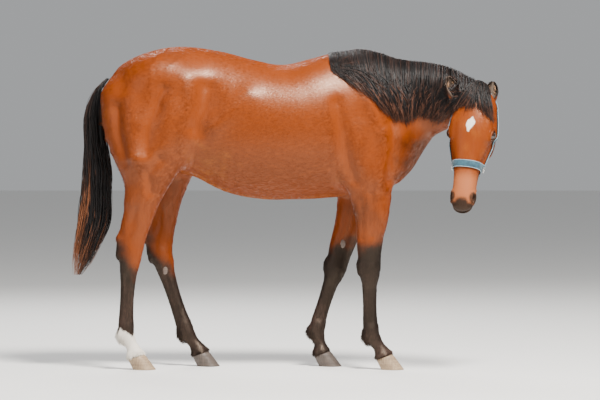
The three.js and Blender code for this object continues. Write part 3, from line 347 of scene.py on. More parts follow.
# [a, b, c, front, back, side]
SKULL = [
    [12, -64, 0, 48, 58, 54], [55, -64, 0, 62, 68, 74], [110, -64, 0, 74, 76, 92],
    [172, -64, 0, 74, 78, 101], [235, -64, 0, 64, 72, 88], [310, -64, 0, 53, 60, 66],
    [380, -65, 0, 46, 54, 55], [436, -67, 0, 42, 50, 51], [486, -70, 0, 38, 46, 50],
    [526, -77, 0, 30, 38, 43],
]
JAW = [
    [62, -132, 0, 60, 46, 50], [112, -158, 0, 80, 66, 70], [185, -160, 0, 85, 76, 80],
    [250, -143, 0, 75, 66, 74], [310, -124, 0, 60, 52, 60], [360, -114, 0, 48, 42, 49],
    [410, -109, 0, 40, 36, 44], [454, -107, 0, 36, 31, 42], [492, -107, 0, 34, 29, 39],
    [518, -98, 0, 29, 25, 35],
]
EYE = np.array([205.0, -58.0, 87.0])
EYE_RADIUS = 20.6
LID_SWELL = 21.3  # radius of the lids' inner side
EYE_SKIN = 23.6  # radius of the skin's swell over the eyeball


def head_form():
    head = Flesh()
    head.add(loft([0, 1, 0], SKULL, 2.2), 1)
    head.add(loft([0, 1, 0], JAW, 2.2), 26)
    for s in (LEFT, RIGHT):
        head.add(belly([98, -146, s * 76], [285, -134, s * 74], 64, 20, [0, 0, s]), 22)  # cheek muscle
        head.add(rod([158, -30, s * 77], [228, -36, s * 75], 14, 12), 20)  # brow
        head.add(rod([64, -90, s * 72], [198, -96, s * 97], 17, 12), 20)  # arch behind the eye
        head.add(rod([248, -90, s * 80], [335, -88, s * 62], 12, 8), 20)  # ridge of the cheek
        head.add(belly([462, -66, s * 44], [522, -82, s * 42], 25, 15, [0, 0, s]), 14)  # nostril's wall
        # hollow over the eye
        head.cut(belly([162, -40, s * 112], [136, -60, s * 110], 12, 16, [0, 0, s]), 24)
        # nostril: a comma that opens forward and runs up into the false nostril
        head.cut(belly([478, -50, s * 57], [512, -66, s * 60], 9, 22, [0, 0.35, s]), 7)
        head.add(loft([0, 0, 1], nostril_rim(s), steps=4), 6)
        # corner of the mouth, and the hollow of the bars of the jaw
        head.cut(belly([440, -106, s * 52], [500, -100, s * 46], 3.2, 9, [0, 0, s]), 6)
        head.add(rod([452, -94, s * 40], [508, -92, s * 34], 9, 9), 12)  # upper lip
        head.add(rod([462, -113, s * 34], [506, -107, s * 28], 9, 10), 10)  # lower lip
        # tear bone, and the vein on the face
        head.add(rod([232, -44, s * 74], [300, -52, s * 56], 8, 5), 16)
        head.add(rod([262, -98, s * 80], [330, -70, s * 58], 3.5, 3), 5)
        head.add(rod([330, -70, s * 58], [366, -58, s * 50], 3, 2.4), 5)
        head.add(rod([78, -74, s * 60], EAR_ROOTS[s], 27, 21), 20)  # muscles at the root of the ear
        head.add(rod(EAR_ROOTS[s], EAR_ROOTS[s] + 18 * EAR_UP[s], 19, 15), 14)
    head.cut(loft([0, 1, 0], [[548, -74, -40, 3, 3, 3], [552, -84, 0, 3, 3, 3], [548, -74, 40, 3, 3, 3]]), 5)
    return head


def nostril_rim(s):
    """The raised wing around the nostril's outer side."""
    ring = [[474, -46, 50], [486, -44, 57], [502, -50, 60], [516, -62, 59], [520, -72, 55]]
    return [[a, b, s * c, 4.5, 4.5, 4.5] for a, b, c in ring]


# root, way up and way the opening faces, in the head's own frame
EARS = {
    RIGHT: ([66, -50, -88], [-0.9, 0.1, -0.38], [0.1, 0.85, 0.5]),
    LEFT: ([48, -74, 58], [-0.92, -0.38, -0.03], [-0.2, 0.92, 0.3]),
}
EAR_ROOTS = {s: np.array(ear[0], float) for s, ear in EARS.items()}
EAR_UP = {s: unit(ear[1]) for s, ear in EARS.items()}
HEAD = head_form()

BODY = Flesh()
trunk_forms(BODY)
BODY.add(loft([0, 0, 1], NECK, 2.1), 60)
for leg_name in JOINTS:
    leg_forms(BODY, leg_name)

# where the head begins: a point, and the way from neck to head
THROAT_PLANE = (head_point(0, -105, 0), unit(head_way(0.62, 0.66, 0.42)))


def whole(p):
    """The horse's flesh without its ears."""
    p = np.asarray(p, float)
    d = BODY(p)
    q = in_head(p)
    near = (q[:, 0] > -120) & (q[:, 0] < 640) & (np.abs(q[:, 2]) < 220) & (q[:, 1] > -380) & (q[:, 1] < 120)
    if near.any():
        d[near] = soft_min(d[near], HEAD(q[near]), 24)
    return d


def eye_bulge(p, d):
    """The skin's swell over the eyeballs."""
    q = in_head(p)
    for s in (RIGHT, LEFT):
        far = np.linalg.norm(q - EYE * [1, 1, s], axis=1)
        d = np.where(far < 80, soft_min(d, far - EYE_SKIN, 16), d)
    return d


def skin_field(p):
    return eye_bulge(p, whole(p)) + COAT_DEPTH


def march(form, start, way, far=260.0, step=5.0):
    """Where each ray from inside a form leaves it."""
    t = np.full(len(start), far)
    open_rays = np.ones(len(start), bool)
    for d in np.arange(step, far, step):
        index = np.nonzero(open_rays)[0]
        if not len(index):
            break
        out = index[form(start[index] + way[index] * d) >= 0]
        t[out] = d
        open_rays[out] = False
    low, high = t - step, t.copy()
    for _ in range(8):
        middle = (low + high) / 2
        inside = form(start + way * middle[:, None]) < 0
        low, high = np.where(inside, middle, low), np.where(inside, high, middle)
    return start + way * low[:, None]


class Surface:
    """The skin as it stands, for rays that look for its outside."""

    def keep(self, bm):
        self.tree = BVHTree.FromBMesh(bm)

    def shoot(self, start, way):
        """Where each ray from inside the skin comes out, or a little way along it if it doesn't."""
        out = []
        for p, w in zip(world(start), unit(way)):
            hit = self.tree.ray_cast(Vector(p), Vector(w))[0]
            out.append(p + w * MISS if hit is None else hit)
        return own(out)


SURFACE = Surface()
MISS = 0.05  # metres along a ray that meets no skin


# ---------------------------------------------------------------- making meshes
def mesh_of(name, bm):
    """A mesh of what bm holds, which is freed."""
    mesh = bpy.data.meshes.new(name)
    bm.to_mesh(mesh)
    bm.free()
    return mesh


def piece_of(name, bm, material):
    return piece(name, mesh_of(name, bm), material)


def piece(name, mesh, material):
    mesh.polygons.foreach_set("use_smooth", [True] * len(mesh.polygons))
    mesh.materials.clear()
    mesh.materials.append(material)
    obj = bpy.data.objects.new(name.replace(" ", "_"), mesh)
    bpy.context.scene.collection.objects.link(obj)
    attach(obj, "root")
    return obj


def sheet(bm, points, loop_rows=False, loop_columns=False):
    """A grid of faces whose corners are points (rows, columns, 3); loops are joined at their ends."""
    if loop_rows:
        points = np.concatenate([points, points[:1]])
    if loop_columns:
        points = np.concatenate([points, points[:, :1]], 1)
    rows, columns = points.shape[:2]
    made = bmesh.ops.create_grid(bm, x_segments=columns - 1, y_segments=rows - 1, size=1)["verts"]
    for v, co in zip(made, points.reshape(-1, 3)):
        v.co = co
    if loop_rows or loop_columns:
        bmesh.ops.remove_doubles(bm, verts=made, dist=1e-7)


def face_outwards(bm):
    bmesh.ops.recalc_face_normals(bm, faces=bm.faces)


def coordinates(mesh):
    co = np.zeros(len(mesh.vertices) * 3, np.float32)
    mesh.vertices.foreach_get("co", co)
    return co.reshape(-1, 3).astype(float)


def normals(mesh):
    co = np.zeros(len(mesh.vertices) * 3, np.float32)
    mesh.vertices.foreach_get("normal", co)
    return co.reshape(-1, 3).astype(float)


def note(mesh, name, values):
    """Keeps one number for every vertex as an attribute."""
    layer = mesh.attributes.new(name, "FLOAT", "POINT")
    layer.data.foreach_set("value", np.asarray(values, np.float32))


def ripple(p, size, seed=0.0):
    """A smooth wandering number between about -1 and 1, with waves of `size`."""
    q = np.asarray(p, float) / size * 2 * math.pi + seed
    x, y, z = q[:, 0], q[:, 1], q[:, 2]
    a = np.sin(x + 1.7 * np.sin(0.7 * z + 0.9 * y) + seed)
    b = np.sin(1.3 * y - 0.8 * z + 1.3 * np.sin(0.9 * x + seed))
    c = np.sin(1.1 * z + 0.5 * x + 1.9 * np.sin(0.8 * y + 2 * seed))
    return (a + b + c) / 3


# ---------------------------------------------------------------- colours and shaders
class Wire:
    """A socket in a material's node tree, with arithmetic."""

    def __init__(self, tree, socket):
        self.tree, self.socket = tree, socket

    def node(self, kind, settings=None, output=0, **values):
        """Another node of this tree: its settings first, then its sockets' values or links."""
        made = self.tree.nodes.new(kind)
        for key, value in (settings or {}).items():
            setattr(made, key, value)
        for key, value in values.items():
            index = int(key[1:]) if key[0] == "i" and key[1:].isdigit() else key.replace("_", " ")
            if isinstance(value, Wire):
                self.tree.links.new(value.socket, made.inputs[index])
            elif value is not None:
                made.inputs[index].default_value = value
        return Wire(self.tree, made.outputs[output])

    def sum(self, operation, a, b=None):
        return self.node("ShaderNodeMath", {"operation": operation}, i0=a, i1=b)

    def __add__(self, other):
        return self.sum("ADD", self, other)

    __radd__ = __add__

    def __sub__(self, other):
        return self.sum("SUBTRACT", self, other)

    def __rsub__(self, other):
        return self.sum("SUBTRACT", other, self)

    def __mul__(self, other):
        return self.sum("MULTIPLY", self, other)

    def __truediv__(self, other):
        return self.sum("DIVIDE", self, other)

    def __pow__(self, other):
        return self.sum("POWER", self, other)

    def band(self, low, high):
        """0 below low, 1 above high, smooth between."""
        span = {"interpolation_type": "SMOOTHSTEP"}
        return self.node("ShaderNodeMapRange", span, i0=self, i1=low, i2=high, i3=0.0, i4=1.0)

    def mix(self, other, share):
        """This colour turned to another by a share."""
        settings = {"data_type": "RGBA", "blend_type": "MIX"}
        return self.node("ShaderNodeMix", settings, 2, i0=share, i6=self, i7=other)

    def stretched(self, x, y, z):
        return self.node("ShaderNodeVectorMath", {"operation": "MULTIPLY"}, i0=self, i1=(x, y, z))

    def noise(self, scale, detail=3.0):
        return self.node("ShaderNodeTexNoise", Vector=self, Scale=scale, Detail=detail, Roughness=0.55)

    def attribute(self, name):
        return self.node("ShaderNodeAttribute", {"attribute_name": name}, 2)

    def colour(self, rgb):
        return self.node("ShaderNodeMix", {"data_type": "RGBA"}, 2, i0=0.0, i6=tint(rgb), i7=tint(rgb))


def tint(rgb):
    """An sRGB colour (0 to 255) as the shader's linear one."""
    line = [v / 255 for v in rgb]
    return (*[v / 12.92 if v <= 0.04045 else ((v + 0.055) / 1.055) ** 2.4 for v in line], 1.0)


def finish(name, **constants):
    """A new material, its surface shader and its object coordinates."""
    material = bpy.data.materials.new(name)
    material.use_nodes = True
    tree = material.node_tree
    shader = tree.nodes["Principled BSDF"]
    for key, value in constants.items():
        shader.inputs[key.replace("_", " ")].default_value = value
    place = tree.nodes.new("ShaderNodeTexCoord").outputs["Object"]
    return material, shader, Wire(tree, place)


def join(shader, socket, wire):
    wire.tree.links.new(wire.socket, shader.inputs[socket])


def bump(wire, height, strength, distance):
    return wire.node("ShaderNodeBump", None, Strength=strength, Distance=distance, Height=height)


# the coat's colours; the lighter and darker bay also paint light down the face's front and shade under the
# neck, on the upper forelegs and on the head's lower sides
BAY = (121, 50, 3)
BAY_LIGHT = (194, 112, 30)
BAY_DARK = (50, 17, 2)
BLACK_HAIR = (12, 8, 8)
GREY_LEG = (62, 45, 40)
WHITE_HAIR = (226, 219, 208)
PEACH = (172, 100, 60)
DUSK_SKIN = (22, 13, 10)


def coat_finish(name, tufts):
    """Bay coat with its black points and white marks, for the skin or for the tufts on it."""
    material, shader, at = finish(name, Roughness=0.46)
    shader.inputs["Specular IOR Level"].default_value = 0.5
    shader.inputs["Specular Tint"].default_value = (1.0, 0.76, 0.58, 1)
    tone_and_painted_shading = at.attribute("tone_and_painted_shading")
    black = at.attribute("black")
    white = at.attribute("white")
    peach = at.attribute("peach")
    dusk = at.attribute("dusk")
    upright = at.attribute("upright")
    cloud = at.noise(3.2, 3.0)
    grain = at.stretched(60, 190, 230).noise(1.0, 3.0)
    grain_up = at.stretched(210, 210, 55).noise(1.0, 3.0)
    hair = grain * (1 - upright) + grain_up * upright
    rough_edge = (at.noise(38.0, 3.0) - 0.5) * 0.5 + (hair - 0.5) * 0.35
    if tufts:
        lock = at.attribute("lock")
        hair = hair * 0.5 + lock * 0.5
    # light and dark follow the tone: the coat's own paler and darker areas, painted shade under the neck, on
    # the upper forelegs and on the head's lower sides, and painted light down the face's front
    light = (tone_and_painted_shading + (cloud - 0.5) * 0.5 + (hair - 0.5) * 0.4).band(0.2, 1.25)
    dark = (tone_and_painted_shading * -1.0 + (0.5 - cloud) * 0.5 + (hair - 0.5) * 0.4).band(0.15, 1.2)
    colour = at.colour(BAY).mix(tint(BAY_LIGHT), light).mix(tint(BAY_DARK), dark)
    leg = at.colour(BLACK_HAIR).mix(tint(GREY_LEG), (cloud + (hair - 0.5) * 0.6).band(0.42, 0.85))
    colour = colour.mix(leg, (black + rough_edge * 0.35).band(0.1, 0.92))
    colour = colour.mix(tint(PEACH), (peach + rough_edge * 0.3).band(0.0, 1.0) * 0.8)
    colour = colour.mix(tint(DUSK_SKIN), (dusk + rough_edge * 0.7).band(0.2, 0.9) * 0.97)
    colour = colour.mix(tint(WHITE_HAIR), (white + rough_edge * 1.2).band(0.3, 0.72))
    join(shader, "Base Color", colour)
    rough = 0.37 + (hair - 0.5) * 0.34 + white * 0.2 + peach * 0.15 + dusk * 0.25 + black * 0.1
    join(shader, "Roughness", rough)
    if not tufts:
        join(shader, "Normal", bump(at, hair + at.noise(95.0, 4.0) * 0.25, 0.32, 0.0011))
    return material


def hair_finish(name, tip_colour, tip_start):
    """Long black hair whose ends are bleached brown."""
    material, shader, at = finish(name, Roughness=0.42)
    shader.inputs["Specular IOR Level"].default_value = 0.3
    tip = at.attribute("tip")
    lock = at.attribute("lock")
    streak = at.stretched(160, 160, 24).noise(1.0, 3.0)
    colour = at.colour((11, 8, 8)).mix(tint((58, 38, 30)), (lock + (streak - 0.5) * 0.8).band(0.4, 1.25))
    bleached = (tip + (lock - 0.5) * 0.7 + (streak - 0.5) * 0.3).band(tip_start, tip_start + 0.5)
    colour = colour.mix(tint(tip_colour), bleached)
    join(shader, "Base Color", colour)
    join(shader, "Roughness", 0.36 + streak * 0.2)
    return material


def horn_finish(name, base, dark):
    material, shader, at = finish(name, Roughness=0.5)
    rings = at.stretched(6, 6, 420).noise(1.0, 2.0)
    lines = at.stretched(240, 240, 12).noise(1.0, 3.0)
    colour = at.colour(base).mix(tint(dark), (rings * 0.6 + lines * 0.6).band(0.42, 0.85))
    join(shader, "Base Color", colour)
    join(shader, "Roughness", 0.42 + lines * 0.25)
    join(shader, "Normal", bump(at, rings * 0.8 + lines * 0.4, 0.45, 0.0015))
    return material


def eye_finish():
    """A dark brown eye with a lying pupil, read from the eye's own map: u across, v up."""
    material, shader, at = finish("Wet brown eye", Roughness=0.06, Coat_Weight=1.0, Coat_Roughness=0.03)
    across = at.attribute("across")
    along = at.attribute("along")
    far = (across * across + along * along) ** 0.5
    pupil = ((along / 0.42) ** 2.0 + (across / 0.2) ** 2.0) ** 0.5
    fibres = at.noise(900.0, 3.0)
    colour = at.colour((34, 18, 11)).mix(tint((58, 33, 18)), fibres.band(0.4, 0.7))
    colour = colour.mix(tint((8, 7, 9)), 1 - pupil.band(0.85, 1.1))
    colour = colour.mix(tint((16, 11, 9)), far.band(0.68, 0.8))
    colour = colour.mix(tint((120, 92, 76)), far.band(0.93, 1.0))
    join(shader, "Base Color", colour)
    return material


TWILL = 2.6  # turns of the weave for each millimetre, in radians


def webbing_finish(name, base, shade):
    """Woven strap: a fine twill of two tones, read across and along the strap."""
    material, shader, at = finish(name, Roughness=0.78, Sheen_Weight=0.2)
    u = at.attribute("along")
    v = at.attribute("across")
    weave = at.sum("SINE", u * TWILL) * at.sum("SINE", v * TWILL)
    worn = at.noise(60.0, 3.0)
    colour = at.colour(base).mix(tint(shade), (weave * 0.3 + worn).band(0.35, 0.8))
    join(shader, "Base Color", colour)
    join(shader, "Roughness", 0.7 + worn * 0.2)
    join(shader, "Normal", bump(at, weave * 0.5 + worn, 0.35, 0.0006))
    return material


def metal_finish():
    material, shader, at = finish("Brushed steel", Metallic=1.0, Roughness=0.3)
    worn = at.noise(220.0, 3.0)
    join(shader, "Base Color", at.colour((206, 206, 204)).mix(tint((150, 148, 144)), worn.band(0.45, 0.75)))
    join(shader, "Roughness", 0.22 + worn * 0.25)
    return material


# ---------------------------------------------------------------- markings
# a, c of the star's outline
STAR = [(141, 9), (168, 21), (180, 16), (216, -5), (190, -13), (172, -18), (158, -8)]
SOCK_TOP = 186
FORE_BLACK_TOP = 560
HIND_BLACK_TOP = 500


def inside_ring(a, c, ring):
    """How far inside a closed outline each point lies, below zero outside."""
    ring = np.array(ring, float)
    best = np.full(len(a), 1e9)
    inside = np.zeros(len(a), bool)
    for (a0, c0), (a1, c1) in zip(ring, np.roll(ring, -1, 0)):
        best = np.minimum(best, to_segment(a, c, (a0, c0), (a1, c1)))
        crosses = (c0 > c) != (c1 > c)
        with np.errstate(divide="ignore", invalid="ignore"):
            inside ^= crosses & (a < (a1 - a0) * (c - c0) / (c1 - c0) + a0)
    return np.where(inside, best, -best)


def head_share(p):
    """1 on the head, 0 on the rest."""
    q = in_head(p)
    near = (q[:, 0] > -90) & (q[:, 0] < 640) & (np.abs(q[:, 2]) < 190) & (q[:, 1] > -330)
    past = (p - THROAT_PLANE[0]) @ THROAT_PLANE[1]
    return np.where(near, smooth(past, -40, 30), 0)


def markings(p):
    """The coat's marks as shares at each point; its tone also holds painted light and shade."""
    x, y, z = p.T
    q = in_head(p)
    a, b, c = q.T
    on_head = head_share(p)
    black = np.zeros(len(p))
    white = np.zeros(len(p))
    wander = ripple(p, 90, 1.0)
    fine = ripple(p, 24, 4.0)
    for name, joints in JOINTS.items():
        joints = np.array(joints, float)
        fore = name.startswith("fore")
        mine = (np.sign(y) == np.sign(joints[0][1])) & ((x > 0) == fore) & (z < 800)
        order = joints[:, 2].argsort()
        ahead = x - np.interp(z, joints[order, 2], joints[order, 0])
        if fore:
            top = FORE_BLACK_TOP + 0.3 * ahead + 24 * wander + 6 * fine
            share = smooth(z, top + 95, top - 75)
        else:
            top = HIND_BLACK_TOP - 1.5 * np.clip(ahead, -60, 60) + 24 * wander + 6 * fine
            share = smooth(z, top + 110, top - 110)
        black = np.where(mine & (on_head < 0.5), np.maximum(black, share), black)
        if name == "hindleg_right":
            edge = SOCK_TOP + 16 * wander + 5 * fine - 26 * hill(ahead, 26, 11)
            white = np.where(mine, smooth(z, edge + 5, edge - 5), white)
    dock = smooth(x, -800, -830) * smooth(np.abs(y), 75, 45) * smooth(z, 1060, 1110)
    black = np.maximum(black, dock)
    star = inside_ring(a + 3 * fine, c + 2 * wander, STAR)
    white = np.maximum(white, smooth(star, -4, 4) * on_head * (b > -60))
    peach = on_head * smooth(a, 345, 440) * smooth(a, 560, 500) * smooth(b, -150, -60)
    nostril = np.hypot((a - 494) / 32, (np.abs(c) - 52) / 24)
    between = smooth(np.abs(c) - 0.25 * (a - 500), 46, 8) * smooth(a, 474, 524) * smooth(b, -120, -90)
    lips = smooth(a, 500, 532) + smooth(b, -82, -104) * smooth(a, 418, 480) * 0.8
    around_eye = np.hypot((a - EYE[0]) / 36, (b - EYE[1]) / 30) + smooth(np.abs(c), 78, 60)
    eye_rim = smooth(around_eye, 1.15, 0.6) * 0.8
    dusk = np.maximum.reduce([0.75 * smooth(nostril, 1.2, 0.6), between, lips, eye_rim]) * on_head
    # darkest in the nostril's opening: dark skin there, with painted shade of the hollow on top
    opening = np.hypot((a - 494 - 0.5 * (np.abs(c) - 56)) / 19, (np.abs(c) - 56) / 10)
    dusk = np.maximum(dusk, 1.3 * on_head * smooth(opening, 1.35, 0.75))
    # paler flank, groin, elbow and muzzle; darker along the back and crest; painted shade under the neck, on
    # the forelegs' tops and on the face's lower edge; painted light down the face's front
    flank = np.exp(-((x + 330) / 150) ** 2 - ((z - 900) / 120) ** 2)
    elbow = np.exp(-((x - 260) / 120) ** 2 - ((z - 830) / 80) ** 2)
    inner = smooth(np.abs(y), 120, 40) * smooth(z, 1000, 780) * (z > 560)
    rump = np.exp(-((x + 790) / 60) ** 2 - ((z - 1120) / 120) ** 2)
    topline = smooth(z, 1290, 1440) * (1 - on_head)
    crest = smooth(z, 1240, 1340) * smooth(x, 380, 560) * (1 - on_head)
    # painted shade under the lower neck, darker than the coat there
    low_neck_painted_shade = (1 - on_head) * smooth(x, 420, 560) * smooth(z, 1130, 1000)
    tone_and_painted_shading = 0.4 * flank + 0.3 * elbow + 0.4 * inner + 0.3 * rump
    tone_and_painted_shading = tone_and_painted_shading - 0.35 * topline - 0.5 * crest - 0.75 * low_neck_painted_shade
    # painted shade on the upper forelegs, under the body
    upper_foreleg_painted_shade = np.exp(-((x - 330) / 110) ** 2 - ((z - 720) / 110) ** 2) * (1 - on_head)
    # painted light down the front of the face and painted shade on its lower sides and jaw
    face = 0.22 * on_head * smooth(b, -90, -20) - 0.45 * on_head * smooth(b, -60, -130)
    tone_and_painted_shading += 0.16 * wander - 0.75 * upper_foreleg_painted_shade + face
    upright = np.clip(on_head + smooth(z, 820, 640) + 0.6 * smooth(x, 420, 620), 0, 1)
    return {"black": black, "white": white, "peach": peach, "dusk": dusk, "tone_and_painted_shading": tone_and_painted_shading, "upright": upright}


def lie(p, n):
    """The way the coat lies at p on a surface with normal n."""
    x, _, z = p.T
    on_head = head_share(p)[:, None]
    leg = (smooth(z, 860, 640) * (1 - on_head[:, 0]))[:, None]
    on_neck = (smooth(x, 380, 560) * (1 - on_head[:, 0]))[:, None]
    way = np.tile([-1.0, 0.0, -0.34], (len(p), 1))
    way = way * (1 - on_neck) + np.array([-0.45, 0, -0.9]) * on_neck
    way = way * (1 - leg) + np.array([-0.12, 0, -1.0]) * leg
    way = way * (1 - on_head) + head_way(1, -0.15, 0) * on_head
    way = way - n * (way * n).sum(1)[:, None]
    return unit(way)


# ---------------------------------------------------------------- skin
LEGS = list(JOINTS)
FLESH = ["trunk", "neck", "head", "forearm_right", "forearm_left", "thigh_right", "thigh_left", *LEGS]
CORONET = unit([-0.28, 0, 1])


def feet_cut(p, d):
    """Ends the skin a little below each hoof's top edge."""
    for joints in JOINTS.values():
        foot = np.array(joints[-1], float)
        near = (np.hypot(p[:, 0] - foot[0], p[:, 1] - foot[1]) < 110) & (p[:, 2] < 150)
        depth = -(p[near] - foot) @ CORONET - 6
        d[near] = soft_max(d[near], depth, 3)
    return d


def body_field(p):
    return feet_cut(p, skin_field(p))


def flesh_block(size):
    """The solids of flesh and eye joined and meshed again in even faces."""
    bm = bmesh.new()
    for name in FLESH + ["eye_right", "eye_left"]:
        bm.from_mesh(frame["nodes"][name].data)
    bmesh.ops.remove_doubles(bm, verts=bm.verts, dist=1e-6)
    mesh = mesh_of("flesh block", bm)
    block = bpy.data.objects.new("flesh block", mesh)
    bpy.context.scene.collection.objects.link(block)
    remesh = block.modifiers.new("even", "REMESH")
    remesh.mode = "VOXEL"
    remesh.voxel_size = size
    even = bpy.data.meshes.new_from_object(block.evaluated_get(bpy.context.evaluated_depsgraph_get()))
    bpy.data.objects.remove(block)
    bpy.data.meshes.remove(mesh)
    return even


def largest_island(bm):
    """Drops every part of bm but the one with the most vertices."""
    seen, islands = set(), []
    for start in bm.verts:
        if start in seen:
            continue
        seen.add(start)
        island, todo = [], [start]
        while todo:
            v = todo.pop()
            island.append(v)
            for e in v.link_edges:
                other = e.other_vert(v)
                if other not in seen:
                    seen.add(other)
                    todo.append(other)
        islands.append(island)
    islands.sort(key=len)
    for island in islands[:-1]:
        bmesh.ops.delete(bm, geom=island, context="VERTS")


def relax(bm, verts, factor):
    bmesh.ops.smooth_vert(bm, verts=verts, factor=factor, use_axis_x=True, use_axis_y=True, use_axis_z=True)


def fair(bm, factor, turns):
    """Smooths the mesh, then brings it back onto the flesh's surface along its own normals."""
    for _ in range(turns):
        relax(bm, bm.verts, factor)
    bm.normal_update()
    p = own([v.co for v in bm.verts])
    n = np.array([v.normal for v in bm.verts])
    d = body_field(p)
    step = np.clip(d, -14, 14)
    p -= n * step[:, None]
    left = body_field(p)
    rate = np.where(np.abs(step) > 0.05, (d - left) / np.where(step == 0, 1, step), 1.0)
    p -= n * np.clip(left / np.clip(rate, 0.4, 1.6), -8, 8)[:, None]
    for v, co in zip(bm.verts, world(p)):
        v.co = co


def refine(bm, wanted):
    """Halves the faces whose centre (in the horse's frame) is wanted."""
    faces = list(bm.faces)
    centres = own([f.calc_center_median() for f in faces])
    chosen = [f for f, w in zip(faces, wanted(centres)) if w]
    edges = list({e for f in chosen for e in f.edges})
    bmesh.ops.subdivide_edges(bm, edges=edges, cuts=1, use_grid_fill=True)


def near_eye(p, reach):
    q = in_head(p)
    return np.minimum(*[np.linalg.norm(q - EYE * [1, 1, s], axis=1) for s in (RIGHT, LEFT)]) < reach


# [mm outward, half width, (x, z) along it] of ridges and grooves on each side
RELIEF = [
    [4, 32, [(-432, 1290), (-428, 1184), (-446, 1117), (-473, 1006)]],  # front edge of the thigh
    [-17, 42, [(-352, 1260), (-366, 1184), (-400, 1085)]],  # hollow of the flank
    [10, 48, [(-317, 1095), (-240, 1160), (-160, 1230)]],  # last ribs
    [-12, 26, [(-754, 1170), (-746, 1060), (-712, 930)]],  # between the two hamstrings
    [8, 36, [(-690, 1200), (-690, 1060), (-660, 960)]],
    [-11, 30, [(-545, 1250), (-604, 1110), (-625, 975)]],  # down the middle of the thigh
    [7, 42, [(-520, 1180), (-530, 1010)]],
    [-9, 24, [(-560, 940), (-610, 880), (-600, 800)]],  # under the stifle
    [-10, 30, [(228, 1190), (250, 1060), (268, 960), (300, 850)]],  # back edge of the triceps
    [6, 46, [(320, 1080), (325, 940)]],
    [-12, 24, [(478, 1125), (484, 1000), (470, 850)]],  # shoulder against neck
    [6, 32, [(318, 1330), (380, 1190), (440, 1060)]],  # spine of the shoulder blade
    [-8, 26, [(360, 1290), (415, 1160), (440, 1100)]],
    [-6, 20, [(530, 870), (590, 950), (655, 1050)]],  # groove of the throat vein
    [3, 10, [(-205, 826), (-60, 850), (60, 862), (190, 892)]],  # vein along the belly
    [-5, 15, [(384, 790), (390, 690), (384, 600)]],  # between the forearm's muscles
    [-4, 13, [(338, 760), (342, 660), (340, 590)]],
]
# [x, y to each side, z, reach, turns] of places where the flesh is smoothed further
SOFT = [
    [-422, 178, 1300, 175, 96], [-430, 160, 1180, 130, 45], [-665, 150, 950, 160, 66],
    [474, 118, 1020, 130, 36], [402, 126, 880, 120, 30], [-790, 60, 1290, 90, 24],
    [60, 0, 1375, 150, 54], [-700, 110, 860, 110, 24],
]


def away_from(x, z, line):
    """The distance in the side view from each point to a line."""
    best = np.full(len(x), 1e9)
    for start, end in zip(line[:-1], line[1:]):
        best = np.minimum(best, to_segment(x, z, start, end))
    return best


def soften(bm):
    """Smooths the flesh around its bony points and joints, most at the middle of each."""
    verts = list(bm.verts)
    p = own([v.co for v in verts])
    mirrored = p * [1, 0, 1] + np.abs(p) * [0, 1, 0]
    places = [(mirrored, *place) for place in SOFT]
    for joints in JOINTS.values():
        knee, fetlock, coronet = (np.array(j, float) for j in joints[-3:])
        if len(joints) > 4:
            places.append((p, *np.array(joints[1], float), 120, 30))
        places += [(p, *knee, 95, 12), (p, *fetlock, 62, 6), (p, *(coronet + [-14, 0, 16]), 70, 9)]
    for q, x, y, z, reach, turns in places:
        far = np.linalg.norm(q - [x, y, z], axis=1)
        for share in (1.0, 0.8, 0.6):
            near = [verts[i] for i in np.nonzero(far < reach * share)[0]]
            for _ in range(turns // 3):
                relax(bm, near, 0.5)


def carve(bm):
    """Raises the muscles' ridges and sinks the grooves between them."""
    bm.normal_update()
    verts = list(bm.verts)
    p = own([v.co for v in verts])
    n = np.array([v.normal for v in verts])
    x, y, z = p.T
    outer = smooth(n[:, 1] * np.sign(y), 0.2, 0.65) * (1 - head_share(p))
    height = np.zeros(len(p))
    for rise, wide, line in RELIEF:
        height += rise * hill(away_from(x, z, line), 0, wide)
    for v, co in zip(verts, world(p + n * (height * outer)[:, None])):
        v.co = co


SKIN_FACE = 0.0125  # metres across a face of the skin, before it is refined


def skin_mesh():
    """The skin without ears and lids: the solids meshed evenly, fitted to the forms and given relief."""
    even = flesh_block(SKIN_FACE)
    bm = bmesh.new()
    bm.from_mesh(even)
    bpy.data.meshes.remove(even)
    largest_island(bm)
    fair(bm, 0.5, 3)
    refine(bm, lambda p: (head_share(p) > 0.3) | (p[:, 2] < 600))
    fair(bm, 0.5, 2)
    refine(bm, lambda p: (in_head(p)[:, 0] > 435) & (head_share(p) > 0.5) | near_eye(p, 62))
    fair(bm, 0.4, 1)
    soften(bm)
    carve(bm)
    SURFACE.keep(bm)
    # the opening under the lids
    q = [in_head(own([v.co for v in bm.verts])) - EYE * [1, 1, s] for s in (RIGHT, LEFT)]
    hole = np.zeros(len(bm.verts), bool)
    for s, d in zip((RIGHT, LEFT), q):
        out = d @ EYE_OUT[s]
        flat = d - out[:, None] * EYE_OUT[s]
        hole |= (out > 6) & (out < 45) & (np.linalg.norm(flat, axis=1) < 25)
    bm.verts.ensure_lookup_table()
    bmesh.ops.delete(bm, geom=[bm.verts[i] for i in np.nonzero(hole)[0]], context="VERTS")
    return mesh_of("skin", bm)


# the way each eye looks, in the head's frame
EYE_OUT = {s: unit([0.03, 0.5, s]) for s in (RIGHT, LEFT)}


def eye_axes(s):
    """Forward along the lids' slit, up across it, and outward, in the head's frame."""
    out = EYE_OUT[s]
    slit = np.array([0.86, 0.5, 0.0])
    slit = unit(slit - out * slit.dot(out))
    up = np.array([-0.5, 0.86, 0.0])
    up = unit(up - out * up.dot(out) - slit * up.dot(slit))
    return slit, up, out


def from_head(q):
    return POLL + np.asarray(q) @ HEAD_AXES


LID_REACH = 39  # of the lids' sheet from the eye's axis
LID_SPOKES = 56


